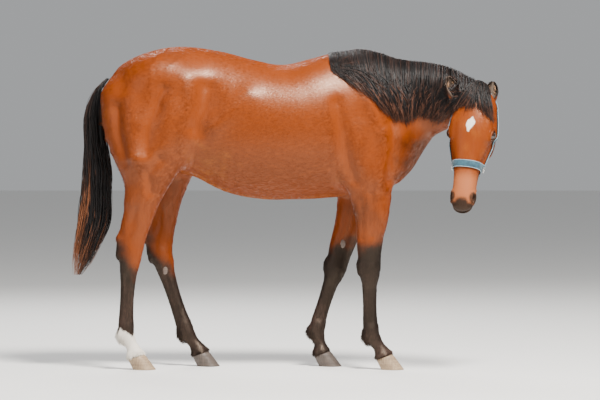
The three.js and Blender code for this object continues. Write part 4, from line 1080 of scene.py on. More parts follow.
def lids(s):
    """Both lids of one eye as one sheet of rings, from the rim against the eyeball out to the skin."""
    slit, up, out = eye_axes(s)
    centre = EYE * [1, 1, s]
    turn = round_turns(LID_SPOKES)
    u, v = np.cos(turn), np.sin(turn)
    # the slit's outline: 40 across, the upper lid arched, the inner corner drawn down and forward
    wide = 20.5 + 3.0 * hill(turn - 2 * math.pi * (turn > math.pi), -0.12, 0.3)
    tall = np.where(v > 0, 14.2, 10.5) * np.abs(v) ** 0.15
    rim = np.stack([wide * u, tall * v - 1.5 * u], 1)
    rows = []
    for more, grow in ((-1.5, 0.0), (0.5, 0.0), (2.2, 0.9), (3.1, 2.4)):
        ball = LID_SWELL + more
        flat = rim * (1 + grow / 16)
        rise = np.sqrt(np.maximum(ball ** 2 - (flat ** 2).sum(1), 1.0))
        if more < 0:
            rise = rise - 1.5
        rows.append(centre + flat[:, :1] * slit + flat[:, 1:] * up + rise[:, None] * out)
    angle = np.arctan2(rim[:, 1], rim[:, 0])
    round_rim = np.stack([np.cos(angle), np.sin(angle)], 1)
    lengths = np.linalg.norm(rim, axis=1)
    for step in np.linspace(0.12, 1, 15):
        radius = (lengths + 2.4) * (1 - step) + LID_REACH * step
        flat = round_rim * radius[:, None]
        inside = centre + flat[:, :1] * slit + flat[:, 1:] * up - 30 * out
        ways = np.tile(from_head(centre + out) - from_head(centre), (len(flat), 1))
        hit = SURFACE.shoot(from_head(inside), ways)
        lift = 0.55 * (1 - smooth(step, 0.72, 0.97)) - 1.6 * smooth(step, 0.93, 1.0)
        upper = np.maximum(round_rim[:, 1], 0)
        lower = np.maximum(-round_rim[:, 1], 0)
        gap = radius - lengths
        crease = -2.3 * upper * hill(gap, 9.5, 1.7) - 1.0 * upper * hill(gap, 14.5, 1.4)
        crease += 1.2 * upper * hill(gap, 5.5, 2.6) - 1.1 * lower * hill(gap, 7.5, 1.6)
        rows.append(in_head(hit) + (lift + crease)[:, None] * out)
    points = world(from_head(np.array(rows).reshape(-1, 3))).reshape(len(rows), len(turn), 3)
    bm = bmesh.new()
    sheet(bm, points, loop_columns=True)
    outward = world(from_head(centre + out)) - world(from_head(centre))
    bm.normal_update()
    if sum(f.normal.dot(Vector(outward)) for f in bm.faces) < 0:
        bmesh.ops.reverse_faces(bm, faces=bm.faces)
    return mesh_of("lids", bm)


def eyeball(s):
    """The ball with its clear bulge in front, its lengths across the iris kept as attributes."""
    slit, up, out = eye_axes(s)
    centre = EYE * [1, 1, s]
    bm = bmesh.new()
    bmesh.ops.create_uvsphere(bm, u_segments=48, v_segments=28, radius=1)
    local = np.array([v.co for v in bm.verts])
    radius = EYE_RADIUS + 1.1 * smooth(local[:, 2], 0.62, 0.86)
    q = centre + (local[:, :1] * slit + local[:, 1:2] * up + local[:, 2:] * out) * radius[:, None]
    for v, co in zip(bm.verts, world(from_head(q))):
        v.co = co
    face_outwards(bm)
    name = SIDE_NAME[s]
    mesh = mesh_of(f"eye_{name}_visual", bm)
    front = local[:, 2] > 0
    note(mesh, "across", np.where(front, local[:, 1], 1.0))
    note(mesh, "along", np.where(front, local[:, 0], 1.0))
    ball = piece(f"Eye {name}", mesh, WET_EYE)
    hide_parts(f"eye_{name}")


# [up the ear, lean to the front, half width, depth, half opening of the shell in degrees]
PINNA = [
    [0, 0, 20, 18, 168], [22, 3, 28, 22, 150], [50, 4, 31, 23, 126], [78, 3, 28, 19, 110],
    [104, 0, 18, 13, 100], [122, -3, 7, 6, 90],
]


EAR_HEIGHT = PINNA[-1][0]
EAR_SUNK = 14  # of the ear's root into the head


def ear_axes(s):
    """An ear's root, and the ways up it, out of its opening and across it, in the head's frame."""
    root, up, opening = (np.array(v, float) for v in EARS[s])
    axis = unit(up)
    front = unit(opening - axis * axis.dot(opening))
    return root, axis, front, np.cross(axis, front)


def ear(s):
    """A hollow pinna with a rolled rim, and its marks by place on it."""
    root, axis, front, side = ear_axes(s)
    rows = smooth_rows(PINNA, 5)
    rows[0, 0] -= EAR_SUNK
    outline = [(t, 0.0) for t in np.linspace(-1, 1, 21)]
    outline += [(t, 1.0) for t in np.linspace(1, -1, 21)]
    points, black, dusk, tone_and_painted_shading = [], [], [], []
    for rise, lean, wide, deep, spread in rows:
        share = max(rise, 0) / EAR_HEIGHT
        thick = 4.4 - 2.6 * share
        line = []
        for t, inner in outline:
            turn = math.radians(spread) * t
            w = max(wide - inner * thick, 1.0) * math.sin(turn)
            d = lean - max(deep - inner * thick, 1.0) * math.cos(turn)
            # the rim's two edges curl inward a little
            curl = max(abs(t) - 0.86, 0) / 0.14
            w *= 1 - 0.05 * curl
            line.append(root + axis * (rise - inner * 3 * share) + side * w + front * d)
            rim = smooth(abs(t), 0.72, 0.95)
            outer = 0.25 + 0.7 * smooth(rise, 8, 58)
            black.append(max(0.95 * rim, outer, 0.95 * inner))
            dusk.append(0.6 * inner * (1 - rim))
            tone_and_painted_shading.append(-0.2 - 0.5 * share)
        points.append(line)
    points = world(from_head(np.array(points).reshape(-1, 3))).reshape(len(rows), len(outline), 3)
    bm = bmesh.new()
    sheet(bm, points, loop_columns=True)
    bmesh.ops.holes_fill(bm, edges=bm.edges, sides=0)
    face_outwards(bm)
    mesh = mesh_of("ear", bm)
    # marks are looked up by place, because joining the doubles moved the vertices' order
    order = nearest_corner(points.reshape(-1, 3), coordinates(mesh))
    marks = {"black": np.array(black)[order], "dusk": np.array(dusk)[order], "tone_and_painted_shading": np.array(tone_and_painted_shading)[order]}
    marks.update({key: np.zeros(len(order)) for key in ("white", "peach")})
    marks["upright"] = np.ones(len(order))
    for key, values in marks.items():
        note(mesh, key, values)
    return mesh


def nearest_corner(corners, points):
    return np.array([int(((corners - p) ** 2).sum(1).argmin()) for p in points])


def joined(name, meshes, material):
    """One piece of several meshes."""
    objects = []
    for mesh in meshes:
        mesh.materials.clear()
        mesh.materials.append(material)
        obj = bpy.data.objects.new(name, mesh)
        bpy.context.scene.collection.objects.link(obj)
        objects.append(obj)
    obj = objects[0]
    chosen = {"selected_objects": objects, "selected_editable_objects": objects}
    with bpy.context.temp_override(active_object=obj, object=obj, **chosen):
        bpy.ops.object.join()
    obj.name = name.replace(" ", "_")
    obj.data.polygons.foreach_set("use_smooth", [True] * len(obj.data.polygons))
    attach(obj, "root")
    return obj


# ---------------------------------------------------------------- coat
def triangles(mesh):
    mesh.calc_loop_triangles()
    t = np.zeros(len(mesh.loop_triangles) * 3, np.int32)
    mesh.loop_triangles.foreach_get("vertices", t)
    return t.reshape(-1, 3)


MARKS = ("black", "white", "peach", "dusk", "tone_and_painted_shading", "upright")


def marks_of(mesh):
    out = {}
    for name in MARKS:
        values = np.zeros(len(mesh.vertices), np.float32)
        mesh.attributes[name].data.foreach_get("value", values)
        out[name] = values
    return out


class Roots:
    """Places on the skin where hair grows, in the horse's frame: points, normals and marks."""

    def __init__(self, mesh):
        self.co = own(coordinates(mesh))
        self.no = normals(mesh)
        self.tri = triangles(mesh)
        self.marks = marks_of(mesh)
        a, b, c = (self.co[self.tri[:, k]] for k in range(3))
        self.area = np.linalg.norm(np.cross(b - a, c - a), axis=1) / 2
        self.centre = (a + b + c) / 3

    def pick(self, weight, count):
        """count places, each triangle's share set by its area times weight."""
        share = self.area * weight
        if share.sum() <= 0:
            return None
        chosen = rng.choice(len(share), count, p=share / share.sum())
        r1, r2 = np.sqrt(rng.random(count)), rng.random(count)
        w = np.stack([1 - r1, r1 * (1 - r2), r1 * r2], 1)
        corners = self.tri[chosen]
        at = (self.co[corners] * w[..., None]).sum(1)
        n = unit((self.no[corners] * w[..., None]).sum(1))
        marks = {k: (v[corners] * w).sum(1) for k, v in self.marks.items()}
        return at, n, marks


def chart(p, n):
    """Where a root lies on an unwrap of the skin: a cell for each limb and way that it faces."""
    x, y, z = p.T
    region = np.where(head_share(p) > 0.5, 1, 0)
    low = (z < 760) & (region == 0)
    region = np.where(low, 2 + (x > 0) * 2 + (y > 0), region)
    axis = np.abs(n).argmax(1)
    way = axis * 2 + (n[np.arange(len(n)), axis] > 0)
    head, leg = (region == 1)[:, None], low[:, None]
    span = np.where(head, 0.7, np.where(leg, 0.85, 2.0))
    corner = np.where(head, [0.45, -0.65, 0.7], np.where(leg, [-1.0, -0.3, 0], [-1, -0.5, 0.6]))
    low_x = np.where(low & (x > 0), 0.05, corner[:, 0])
    corner = np.stack([low_x, corner[:, 1], corner[:, 2]], 1)
    local = np.clip((p * 0.001 - corner) / span, 0.02, 0.98)
    rows = np.arange(len(p))
    u = local[rows, (axis + 1) % 3]
    v = local[rows, (axis + 2) % 3]
    return np.stack([(way + u) / 6, (region + v) / 6], 1)


PATCH = 0.003  # of the map, for one tuft or lock


def bake_map(mesh, roots_uv, corners):
    """The map OFBake: a patch for each tuft or lock, at its root's place."""
    layer = mesh.uv_layers.new(name="OFBake")
    n = len(mesh.loops)
    index = np.zeros(n, np.int32)
    mesh.loops.foreach_get("vertex_index", index)
    per = len(corners)
    uv = roots_uv[index // per] + (corners[index % per] - 0.5) * PATCH
    layer.data.foreach_set("uv", np.clip(uv, 0, 1).astype(np.float32).ravel())


def mesh_from(name, points, faces):
    mesh = bpy.data.meshes.new(name)
    mesh.vertices.add(len(points))
    mesh.vertices.foreach_set("co", np.asarray(points, np.float32).ravel())
    faces = np.asarray(faces, np.int32)
    size = faces.shape[1]
    mesh.loops.add(faces.size)
    mesh.loops.foreach_set("vertex_index", faces.ravel())
    mesh.polygons.add(len(faces))
    mesh.polygons.foreach_set("loop_start", np.arange(0, faces.size, size, dtype=np.int32))
    mesh.update(calc_edges=True)
    return mesh


TUFT_SPREAD = 0.22  # sideways, for each step ahead


def tufts(name, places, long, wide, lift):
    """Thin ridged tufts that lie along the coat: two root corners, a ridge and a tip each."""
    at, n, marks = places
    count = len(at)
    long = long * rng.uniform(0.7, 1.25, count)
    wide = wide * rng.uniform(0.7, 1.3, count)
    ahead = lie(at, n)
    side = np.cross(n, ahead)
    ahead = unit(ahead + side * rng.normal(0, TUFT_SPREAD, count)[:, None])
    side = unit(np.cross(n, ahead))
    start = at - n * 0.5
    rise = lift * rng.uniform(0.4, 1.5, count)
    left = start - side * (wide / 2)[:, None]
    right = start + side * (wide / 2)[:, None]
    ridge = start + ahead * (long * 0.35)[:, None] + n * (0.5 + wide * 0.17 + rise * 0.5)[:, None]
    tip = start + ahead * long[:, None] + n * (0.35 + rise)[:, None]
    points = np.stack([left, right, ridge, tip], 1).reshape(-1, 3)
    base = np.arange(count)[:, None] * 4
    faces = np.concatenate([base + [0, 2, 3], base + [2, 1, 3], base + [0, 1, 2]])
    mesh = mesh_from(name, world(points), faces)
    for key, values in marks.items():
        note(mesh, key, np.repeat(values, 4))
    note(mesh, "lock", np.repeat(rng.random(count), 4))
    bake_map(mesh, chart(at, n), np.array([[0, 0], [1, 0], [0.5, 0.4], [0.5, 1.0]]))
    piece(name, mesh, COAT_TUFTS)


def locks(name, paths, sides, wide, thick, material, lock_value=None):
    """Long locks: paths (n, m, 3), the way across each (n, m, 3), and their sizes (n, m)."""
    n, m = paths.shape[:2]
    along = unit(np.gradient(paths, axis=1))
    sides = unit(sides - along * (sides * along).sum(-1, keepdims=True))
    ups = np.cross(along, sides)
    ring = np.stack(
        [
            paths - sides * wide[..., None] / 2,
            paths - ups * thick[..., None] / 2,
            paths + sides * wide[..., None] / 2,
            paths + ups * thick[..., None] / 2,
        ],
        2,
    )
    points = ring.reshape(-1, 3)
    k = np.arange(m - 1)[:, None] * 4
    quads = [[k + j, k + (j + 1) % 4, k + 4 + (j + 1) % 4, k + 4 + j] for j in range(4)]
    quads = np.concatenate([np.concatenate(quad, 1) for quad in quads])
    ends = np.array([[3, 2, 1, 0], [4 * m - 4, 4 * m - 3, 4 * m - 2, 4 * m - 1]])
    one = np.concatenate([quads, ends])
    faces = (one[None] + (np.arange(n) * 4 * m)[:, None, None]).reshape(-1, 4)
    mesh = mesh_from(name, world(points), faces)
    share = np.tile(np.repeat(np.linspace(0, 1, m), 4), n)
    note(mesh, "tip", share)
    lock_value = rng.random(n) if lock_value is None else lock_value
    note(mesh, "lock", np.repeat(lock_value, 4 * m))
    roots = paths[:, 0]
    uv = chart(roots, unit(ups[:, 0]))
    corners = np.stack([np.tile([0, 0.33, 0.66, 1.0], m), np.repeat(np.linspace(0, 1, m), 4)], 1)
    bake_map(mesh, uv, corners)
    bm = bmesh.new()
    bm.from_mesh(mesh)
    first = [f for f in bm.faces if f.index < len(one)]
    middle = sum((f.calc_center_median() for f in first), Vector()) / len(first)
    if sum(f.normal.dot(f.calc_center_median() - middle) for f in first) < 0:
        bmesh.ops.reverse_faces(bm, faces=bm.faces)
        bm.to_mesh(mesh)
    bm.free()
    return piece(name, mesh, material)


def wavy(n, m, amount, waves):
    """Sideways wandering for n locks of m points, none at the root."""
    t = np.linspace(0, 1, m)
    phase = rng.random((n, 1)) * 2 * math.pi
    pace = rng.uniform(0.6, 1.4, (n, 1)) * waves
    swing = np.sin(phase + pace * t * 2 * math.pi)
    return amount * swing * smooth(t, 0.0, 0.5) * rng.uniform(0.3, 1.2, (n, 1))


# x, y of the neck's crest
CREST = np.array([[180, 0], [525, 0], [613, -36], [692, -88], [757, -146], [830, -230], [850, -282]], float)
# x, z of the mane's lower edge on the right side
MANE_EDGE = np.array([
    [190, 1345], [210, 1288], [296, 1252], [359, 1203], [421, 1160], [484, 1102], [536, 1096],
    [610, 1122], [672, 1098], [712, 1110], [736, 1200], [800, 1250],
], float)


def mane():
    """Hair from the crest, over the right side of the neck and down it, around the right ear."""
    n, m = 2300, 11
    x = rng.uniform(0, 1, n) ** 0.86 * (838 - 190) + 190
    sweep = ripple(np.stack([x, 0 * x, 0 * x], 1), 90, 5.0)
    clump = ripple(np.stack([x, 0 * x, 0 * x], 1), 34, 2.0)
    drift = np.interp(x, [190, 300, 420, 520, 640, 750, 838], [95, 112, 72, 14, -48, -78, -96])
    drift = drift + 24 * sweep + 14 * clump + rng.normal(0, 1, n) * (16 + 22 * smooth(x, 380, 210))
    y = np.interp(x, CREST[:, 0], CREST[:, 1]) + rng.normal(0, 7, n)
    inner = np.stack([x, y, np.full(n, 1180.0)], 1)
    top = SURFACE.shoot(inner, np.tile([0, 0, 1.0], (n, 1)))
    layer = rng.random(n)
    edge = np.interp(x + drift, MANE_EDGE[:, 0], MANE_EDGE[:, 1])
    edge = edge + 12 * clump + rng.normal(0, 11, n)
    edge = edge + (120 * layer + 70 * smooth(x, 330, 200)) * rng.random(n) ** 2.2
    t = np.linspace(0, 1, m)
    paths = np.zeros((n, m, 3))
    ways = np.zeros((n, m, 3))
    for i, share in enumerate(t):
        turn = np.radians(-14 + (84 + 14) * np.clip(share / 0.24, 0, 1))
        down = np.clip((share - 0.12) / 0.88, 0, 1)
        px = x + drift * down ** 1.2
        centre_y = np.interp(px, CREST[:, 0], CREST[:, 1])
        centre_z = (top[:, 2] - 80) * (1 - down) + edge * down
        start = np.stack([px, centre_y, centre_z], 1)
        way = np.stack([0 * px, -np.full(n, math.sin(turn)), np.full(n, math.cos(turn))], 1)
        hit = SURFACE.shoot(start, way)
        hump = math.sin(min(share / 0.3, 1) * math.pi)
        off = 1.5 + 9 * layer + (3 + 8 * layer * smooth(x, 520, 760)) * hump + 3.0 * down
        off = off + 8 * rng.random(n) * down * smooth(layer, 0.6, 1.0)
        paths[:, i] = hit + way * off[:, None]
        ways[:, i] = way
    paths[..., 0] += wavy(n, m, 9.0, 0.9) + wavy(n, m, 3.0, 2.2)
    paths = around_ear(paths, RIGHT, 29)
    sides = np.cross(ways, np.gradient(paths, axis=1))
    wide = rng.uniform(1.8, 5.6, (n, 1)) * (0.55 + 0.6 * np.sin(np.clip(t * 1.25, 0, 1) * math.pi * 0.72))
    wide = wide * (1 - 0.85 * smooth(t, 0.66, 1.0)) * (0.42 + 0.58 * smooth(x, 195, 330))[:, None]
    obj = locks("Mane", paths, sides, wide, np.minimum(wide * 0.42, 1.5), LONG_HAIR)
    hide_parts("mane")


def around_ear(paths, s, reach):
    """Moves hair that would cross an ear out to its back and sides."""
    root = from_head(EAR_ROOTS[s])
    up = EAR_UP[s] @ HEAD_AXES
    front = unit(np.array(EARS[s][2], float)) @ HEAD_AXES
    along = (paths - root) @ up
    axis = root + np.clip(along, 0, 116)[..., None] * up
    away = paths - axis
    far = np.linalg.norm(away, axis=-1)
    away = away - np.maximum(away @ front, 0)[..., None] * front + 1e-3 * np.cross(up, front)
    near = (far < reach) & (along > -20) & (along < 130)
    paths[near] = (axis + unit(away) * reach)[near]
    return paths


def forelock():
    """Hair from between the ears: a long lock to the right, a short middle and a sweep to the left eye."""
    n, m = 520, 13
    kind = rng.random(n)
    right, middle = kind < 0.34, (kind >= 0.34) & (kind < 0.56)
    c0 = np.select([right, middle], [rng.normal(-4, 13, n), rng.normal(2, 14, n)], rng.uniform(-6, 66, n))
    a0 = rng.uniform(-24, 26, n)
    reach = rng.random(n)
    end_c = np.select([right, middle], [-34 - 78 * reach, -40 + 72 * reach], 26 + 80 * reach)
    end_a = np.select([right, middle], [88 + 46 * reach, 96 + 22 * rng.random(n)], 104 + 52 * reach)
    end_c = end_c + rng.normal(0, 4, n)
    end_a = end_a + rng.normal(0, 8, n)
    t = np.linspace(0, 1, m)
    paths = np.zeros((n, m, 3))
    ways = np.zeros((n, m, 3))
    layer = rng.random(n)
    for i, share in enumerate(t):
        a = a0 + (end_a - a0) * share ** 1.1
        c = c0 + (end_c - c0) * share ** 1.15
        start = from_head(np.stack([np.maximum(a, 6), np.full(n, -70.0), 0.8 * c], 1))
        way = unit(np.stack([-1.0 * (1 - share) ** 2 + 0 * c, np.ones(n), 0.003 * c], 1) @ HEAD_AXES)
        hit = SURFACE.shoot(start, way)
        off = 2 + 9 * layer + 7 * math.sin(share * math.pi) * layer
        paths[:, i] = hit + way * off[:, None]
        ways[:, i] = way
    paths += wavy(n, m, 5.0, 0.8)[..., None] * HEAD_AXES[2]
    paths = around_ear(around_ear(paths, RIGHT, 24), LEFT, 24)
    sides = np.cross(ways, np.gradient(paths, axis=1))
    wide = rng.uniform(1.6, 4.2, (n, 1)) * (1 - 0.8 * smooth(t, 0.55, 1.0))
    obj = locks("Forelock", paths, sides, wide, np.minimum(wide * 0.4, 1.4), LONG_HAIR)
    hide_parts("forelock")


def ear_hair(s):
    """Fine pale hair across the opening of an ear."""
    root, axis, front, side = ear_axes(s)
    n, m = 36, 6
    rise = rng.uniform(14, 84, n)
    edge = rng.choice([-1.0, 1.0], n)
    wide = 25 * np.sqrt(np.clip(1 - ((rise - 46) / 74) ** 2, 0.1, 1))
    t = np.linspace(0, 1, m)
    paths = np.zeros((n, m, 3))
    for i, share in enumerate(t):
        w = edge * wide * (0.9 - 0.75 * share * rng.uniform(0.7, 1.0, n))
        d = -6 + 7 * math.sin(share * math.pi * 0.8) + 0 * w
        paths[:, i] = root + (rise + 17 * share)[:, None] * axis + w[:, None] * side + d[:, None] * front
    paths = from_head(paths.reshape(-1, 3)).reshape(n, m, 3)
    ways = np.broadcast_to(front @ HEAD_AXES, paths.shape)
    sides = np.cross(ways, np.gradient(paths, axis=1))
    wide = rng.uniform(0.5, 1.0, (n, 1)) * (1 - 0.7 * smooth(t, 0.5, 1.0))
    locks(f"Ear hair {SIDE_NAME[s]}", paths, sides, wide, wide * 0.5, EAR_HAIR)


# [x, y, z, front, back, side] down the tail
TAIL = [
    [-800, 0, 1306, 20, 26, 24], [-846, 0, 1248, 30, 42, 32], [-868, 0, 1150, 52, 52, 42],
    [-866, 0, 1020, 64, 46, 44], [-850, 0, 900, 68, 66, 46], [-850, 0, 800, 66, 74, 44],
    [-858, 0, 670, 74, 84, 42], [-876, 0, 600, 66, 76, 38], [-896, 0, 540, 56, 64, 32],
    [-918, 0, 470, 40, 44, 22], [-938, 0, 420, 18, 20, 10],
]


def tail():
    """Hair around the dock and down to below the hocks, its ends brown at the back."""
    rows = smooth_rows(TAIL, 6)
    length = np.concatenate([[0], np.cumsum(np.linalg.norm(np.diff(rows[:, :3], axis=0), axis=1))])
    length /= length[-1]
    n, m = 1250, 18
    start = np.clip(rng.beta(1.1, 2.6, n) * 0.62, 0, 0.5)
    end = np.clip(rng.beta(5, 1.3, n) * 1.02, start + 0.3, 1.0)
    turn = rng.random(n) * 2 * math.pi
    out = np.sqrt(rng.random(n)) * 0.94
    t = np.linspace(0, 1, m)
    share = start[:, None] + (end - start)[:, None] * t
    spine = np.stack([np.interp(share, length, rows[:, k]) for k in range(6)], -1)
    u = np.cos(turn)[:, None] * out[:, None]
    v = np.sin(turn)[:, None] * out[:, None]
    deep = np.where(u > 0, spine[..., 3], spine[..., 4])
    paths = spine[..., :3].copy()
    grow = 0.45 + 0.55 * smooth(t, 0, 0.35)
    paths[..., 0] += u * deep * grow + wavy(n, m, 6.0, 1.3)
    paths[..., 1] += v * spine[..., 5] * grow + wavy(n, m, 5.0, 1.1)
    sides = np.stack([-np.sin(turn), np.cos(turn), 0 * turn], 1)[:, None] * np.ones((1, m, 1))
    wide = rng.uniform(3.0, 7.0, (n, 1)) * (1 - 0.82 * smooth(t, 0.7, 1.0)) * (0.6 + 0.4 * smooth(t, 0, 0.2))
    value = rng.random(n) * 0.55 + 0.45 * smooth(-u[:, 0], -0.4, 0.9)
    obj = locks("Tail", paths, sides, wide, np.minimum(wide * 0.45, 2.6), TAIL_HAIR, value)
    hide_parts("tail")


# ---------------------------------------------------------------- hooves
HOOF_LEAN = 0.62
HOOF_TAPER = 0.0024
HOOF_AHEAD = 34  # of the hoof's middle before the coronet joint
HOOF_SPOKES = 48
CORONET_HEIGHT = 66
CORONET_SLOPE = 0.28
# height and share of the wall's outline, from the middle of the sole out to the wall
SOLE = [(4.5, 0.3), (4, 0.7), (0.6, 0.84), (0, 0.9), (0, 0.965), (1.6, 1.0)]


def hoof(name):
    """Wall, sole and heels of one hoof."""
    foot = np.array(JOINTS[name][-1], float)
    turn = round_turns(HOOF_SPOKES)
    long = np.where(np.cos(turn) > 0, 56, 50)
    wide = 54 - 5 * (1 - np.cos(turn)) ** 2
    notch = 1 - 0.1 * hill(turn, math.pi, 0.25)
    points = []
    for up, size in SOLE:
        x = foot[0] + HOOF_AHEAD + long * size * np.cos(turn) * notch - HOOF_LEAN * up
        y = foot[1] + wide * size * np.sin(turn) * notch
        points.append(np.stack([x, y, np.full(HOOF_SPOKES, float(up))], 1))
    for share in np.linspace(0.06, 1, 14):
        # up to the sloping coronet, with a faint ring every few rows
        top = (CORONET_HEIGHT + CORONET_SLOPE * long * np.cos(turn)) / (1 + CORONET_SLOPE * HOOF_LEAN)
        up = top * share
        ringed = (1 - HOOF_TAPER * up) * (1 + 0.006 * math.sin(share * 26))
        size = ringed * (1 - 0.035 * smooth(share, 0.86, 1))
        x = foot[0] + HOOF_AHEAD - HOOF_LEAN * up + long * size * np.cos(turn) * notch
        points.append(np.stack([x, foot[1] + wide * size * np.sin(turn) * notch, up], 1))
    inner = points[-1] * 1.0
    inner[:, :2] = foot[:2] + (inner[:, :2] - foot[:2]) * 0.72
    points.append(inner)
    bm = bmesh.new()
    sheet(bm, world(points), loop_columns=True)
    bmesh.ops.holes_fill(bm, edges=bm.edges, sides=0)
    face_outwards(bm)
    title = name.replace("leg", "")
    pale = name.endswith("right")
    obj = piece_of(f"Hoof {title.replace('_', ' ')}", bm, PALE_HORN if pale else DARK_HORN)
    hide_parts(f"hoof_{title}")


# ---------------------------------------------------------------- headcollar
# places on the straps, as a and b in the head's frame
NOSEBAND = 352
CROWN = (8, -106)
CHEEK_RING = (NOSEBAND - 4, -98)
JOWL = (168, -250)
STRAP_CLEAR = 2.6
STRAP_THICK = 5.0
PIPING_RADIUS = 1.5
RING_RADIUS = 17
RING_WIRE = 2.6


def strap(name, start, end, width, turns, steps, replaces):
    """A padded strap around the head in the plane through two points (a, b) across the head."""
    run = np.array(end, float) - start
    up = run / np.linalg.norm(run)
    middle = (np.array(start, float) + end) / 2
    loop = turns[1] - turns[0] == 360
    t = np.linspace(0, 1, steps + 1)[:-1] if loop else np.linspace(0, 1, steps + 1)
    turn = np.radians(turns[0] + (turns[1] - turns[0]) * t)
    ways = np.stack([up[0] * np.cos(turn), up[1] * np.cos(turn), np.sin(turn)], 1) @ HEAD_AXES
    across = np.linspace(-1, 1, 9)
    offs = (across * width / 2)[:, None, None]
    origins = np.array([middle[0], middle[1], 0]) + offs * np.array([-up[1], up[0], 0])
    origins = np.broadcast_to(origins, (len(across), len(t), 3)).reshape(-1, 3)
    rays = np.tile(ways @ HEAD_AXES.T, (len(across), 1))
    hits = from_head(march(HEAD, origins, rays)).reshape(len(across), len(t), 3)
    # the strap lies flat across its width, and bridges the small hollows along it
    for _ in range(3):
        if loop:
            hits = (np.roll(hits, 1, 1) + 2 * hits + np.roll(hits, -1, 1)) / 4
        else:
            hits[:, 1:-1] = (hits[:, :-2] + 2 * hits[:, 1:-1] + hits[:, 2:]) / 4
    # the padded profile, thickest along its middle
    profile = [(e, STRAP_CLEAR) for e in across]
    top = [(e, STRAP_CLEAR + STRAP_THICK * (0.62 + 0.38 * (1 - e * e))) for e in across[::-1]]
    points = np.zeros((len(t), len(across) * 2, 3))
    for k, (e, grow) in enumerate(profile + top):
        i = int(round((e + 1) * 4))
        points[:, k] = hits[i] + ways * grow
    bm = bmesh.new()
    sheet(bm, world(points), loop_rows=loop, loop_columns=True)
    if not loop:
        bmesh.ops.holes_fill(bm, edges=bm.edges, sides=0)
    face_outwards(bm)
    mesh = mesh_of(name, bm)
    co = own(coordinates(mesh))
    rel = in_head(co)[:, :2] - middle
    offset = rel @ np.array([-up[1], up[0]])
    note(mesh, "across", offset)
    spin = np.arctan2(in_head(co)[:, 2], rel @ up)
    note(mesh, "along", spin * 70)
    body = piece(name, mesh, TEAL_WEBBING)
    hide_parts(*replaces)
    # a piping along each edge
    for e, side in ((0, -1), (8, 1)):
        centre = hits[e] + ways * (STRAP_CLEAR + STRAP_THICK * 0.5)
        ring = round_turns(8)
        cos, sin = np.cos(ring)[None, :, None], np.sin(ring)[None, :, None]
        edge_way = unit(hits[8] - hits[0]) * side
        tube = centre[:, None] + PIPING_RADIUS * (cos * ways[:, None] + sin * edge_way[:, None])
        bm = bmesh.new()
        sheet(bm, world(tube), loop_rows=loop, loop_columns=True)
        if not loop:
            bmesh.ops.holes_fill(bm, edges=bm.edges, sides=0)
        face_outwards(bm)
        mesh = mesh_of(f"{name} piping", bm)
        note(mesh, "across", own(coordinates(mesh))[:, 2])
        note(mesh, "along", own(coordinates(mesh))[:, 0])
        piece(f"{name} piping {'upper' if e else 'lower'}", mesh, PALE_PIPING)


def ring_at(s):
    """A steel ring on the cheek, where noseband and cheek strap meet."""
    start = from_head(np.array([[*CHEEK_RING, 0.0]]))
    hit = in_head(SURFACE.shoot(start, head_way(0, 0, s)[None]))[0]
    out = abs(hit[2]) + STRAP_CLEAR + 9
    bm = bmesh.new()
    points = np.zeros((40, 12, 3))
    for i, big in enumerate(round_turns(40)):
        for j, small in enumerate(round_turns(12)):
            radius = RING_RADIUS + RING_WIRE * math.cos(small)
            a = CHEEK_RING[0] + radius * math.cos(big)
            b = CHEEK_RING[1] + radius * math.sin(big)
            points[i, j] = from_head([a, b, s * (out + RING_WIRE * math.sin(small))])
    sheet(bm, world(points), loop_rows=True, loop_columns=True)
    face_outwards(bm)
    side = SIDE_NAME[s]
    obj = piece_of(f"Cheek ring {side}", bm, STEEL)
    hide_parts(f"halter_ring_{side}")


# ---------------------------------------------------------------- build
COAT_SKIN = coat_finish("Bay coat", False)
COAT_TUFTS = coat_finish("Bay coat tufts", True)
LONG_HAIR = hair_finish("Black mane hair", (98, 62, 46), 0.74)
TAIL_HAIR = hair_finish("Black tail hair, bleached ends", (152, 92, 58), 0.72)
EAR_HAIR = hair_finish("Pale ear hair", (168, 128, 96), -0.1)
PALE_HORN = horn_finish("Pale horn", (176, 152, 122), (120, 96, 74))
DARK_HORN = horn_finish("Grey horn", (96, 84, 76), (58, 50, 46))
CHESTNUT_HORN = horn_finish("Chestnut horn", (120, 104, 94), (66, 52, 46))
WET_EYE = eye_finish()
TEAL_WEBBING = webbing_finish("Teal padded webbing", (42, 86, 102), (22, 48, 62))
PALE_PIPING = webbing_finish("Pale blue piping", (150, 176, 186), (104, 130, 142))
STEEL = metal_finish()


def build_skin():
    body = skin_mesh()
    lid_meshes = [lids(s) for s in (RIGHT, LEFT)]
    for mesh in (body, *lid_meshes):
        for key, values in markings(own(coordinates(mesh))).items():
            note(mesh, key, values)
    ears = [ear(s) for s in (RIGHT, LEFT)]
    skin = joined("Skin", [body, *lid_meshes, *ears], COAT_SKIN)
    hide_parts(*FLESH, "ear_right", "ear_left")
    return skin


def near_joint(p, which, shift, reach):
    """1 for points within reach of a joint of any leg, 0 for the rest."""
    near = np.zeros(len(p), bool)
    for joints in JOINTS.values():
        near |= np.linalg.norm(p - np.array(joints[which], float) - shift, axis=1) < reach
    return near.astype(float)


def chestnut(name, bone, share):
    """The horny oval on the inner side of a leg."""
    joints = JOINTS[name]
    at = on_bone(joints, bone, share)
    inward = np.array([0, -np.sign(joints[0][1]), 0], float)
    hit = SURFACE.shoot(at[None], inward[None])[0]
    bm = bmesh.new()
    bmesh.ops.create_icosphere(bm, subdivisions=4, radius=1)
    ball = np.array([v.co for v in bm.verts])
    rough = 1 + 0.12 * ripple(ball * 20, 14, 3.0)
    q = hit + ball * [10.5, 4.2, 19.0] * rough[:, None]
    for v, co in zip(bm.verts, world(q)):
        v.co = co
    face_outwards(bm)
    piece_of(f"Chestnut {name}", bm, CHESTNUT_HORN)


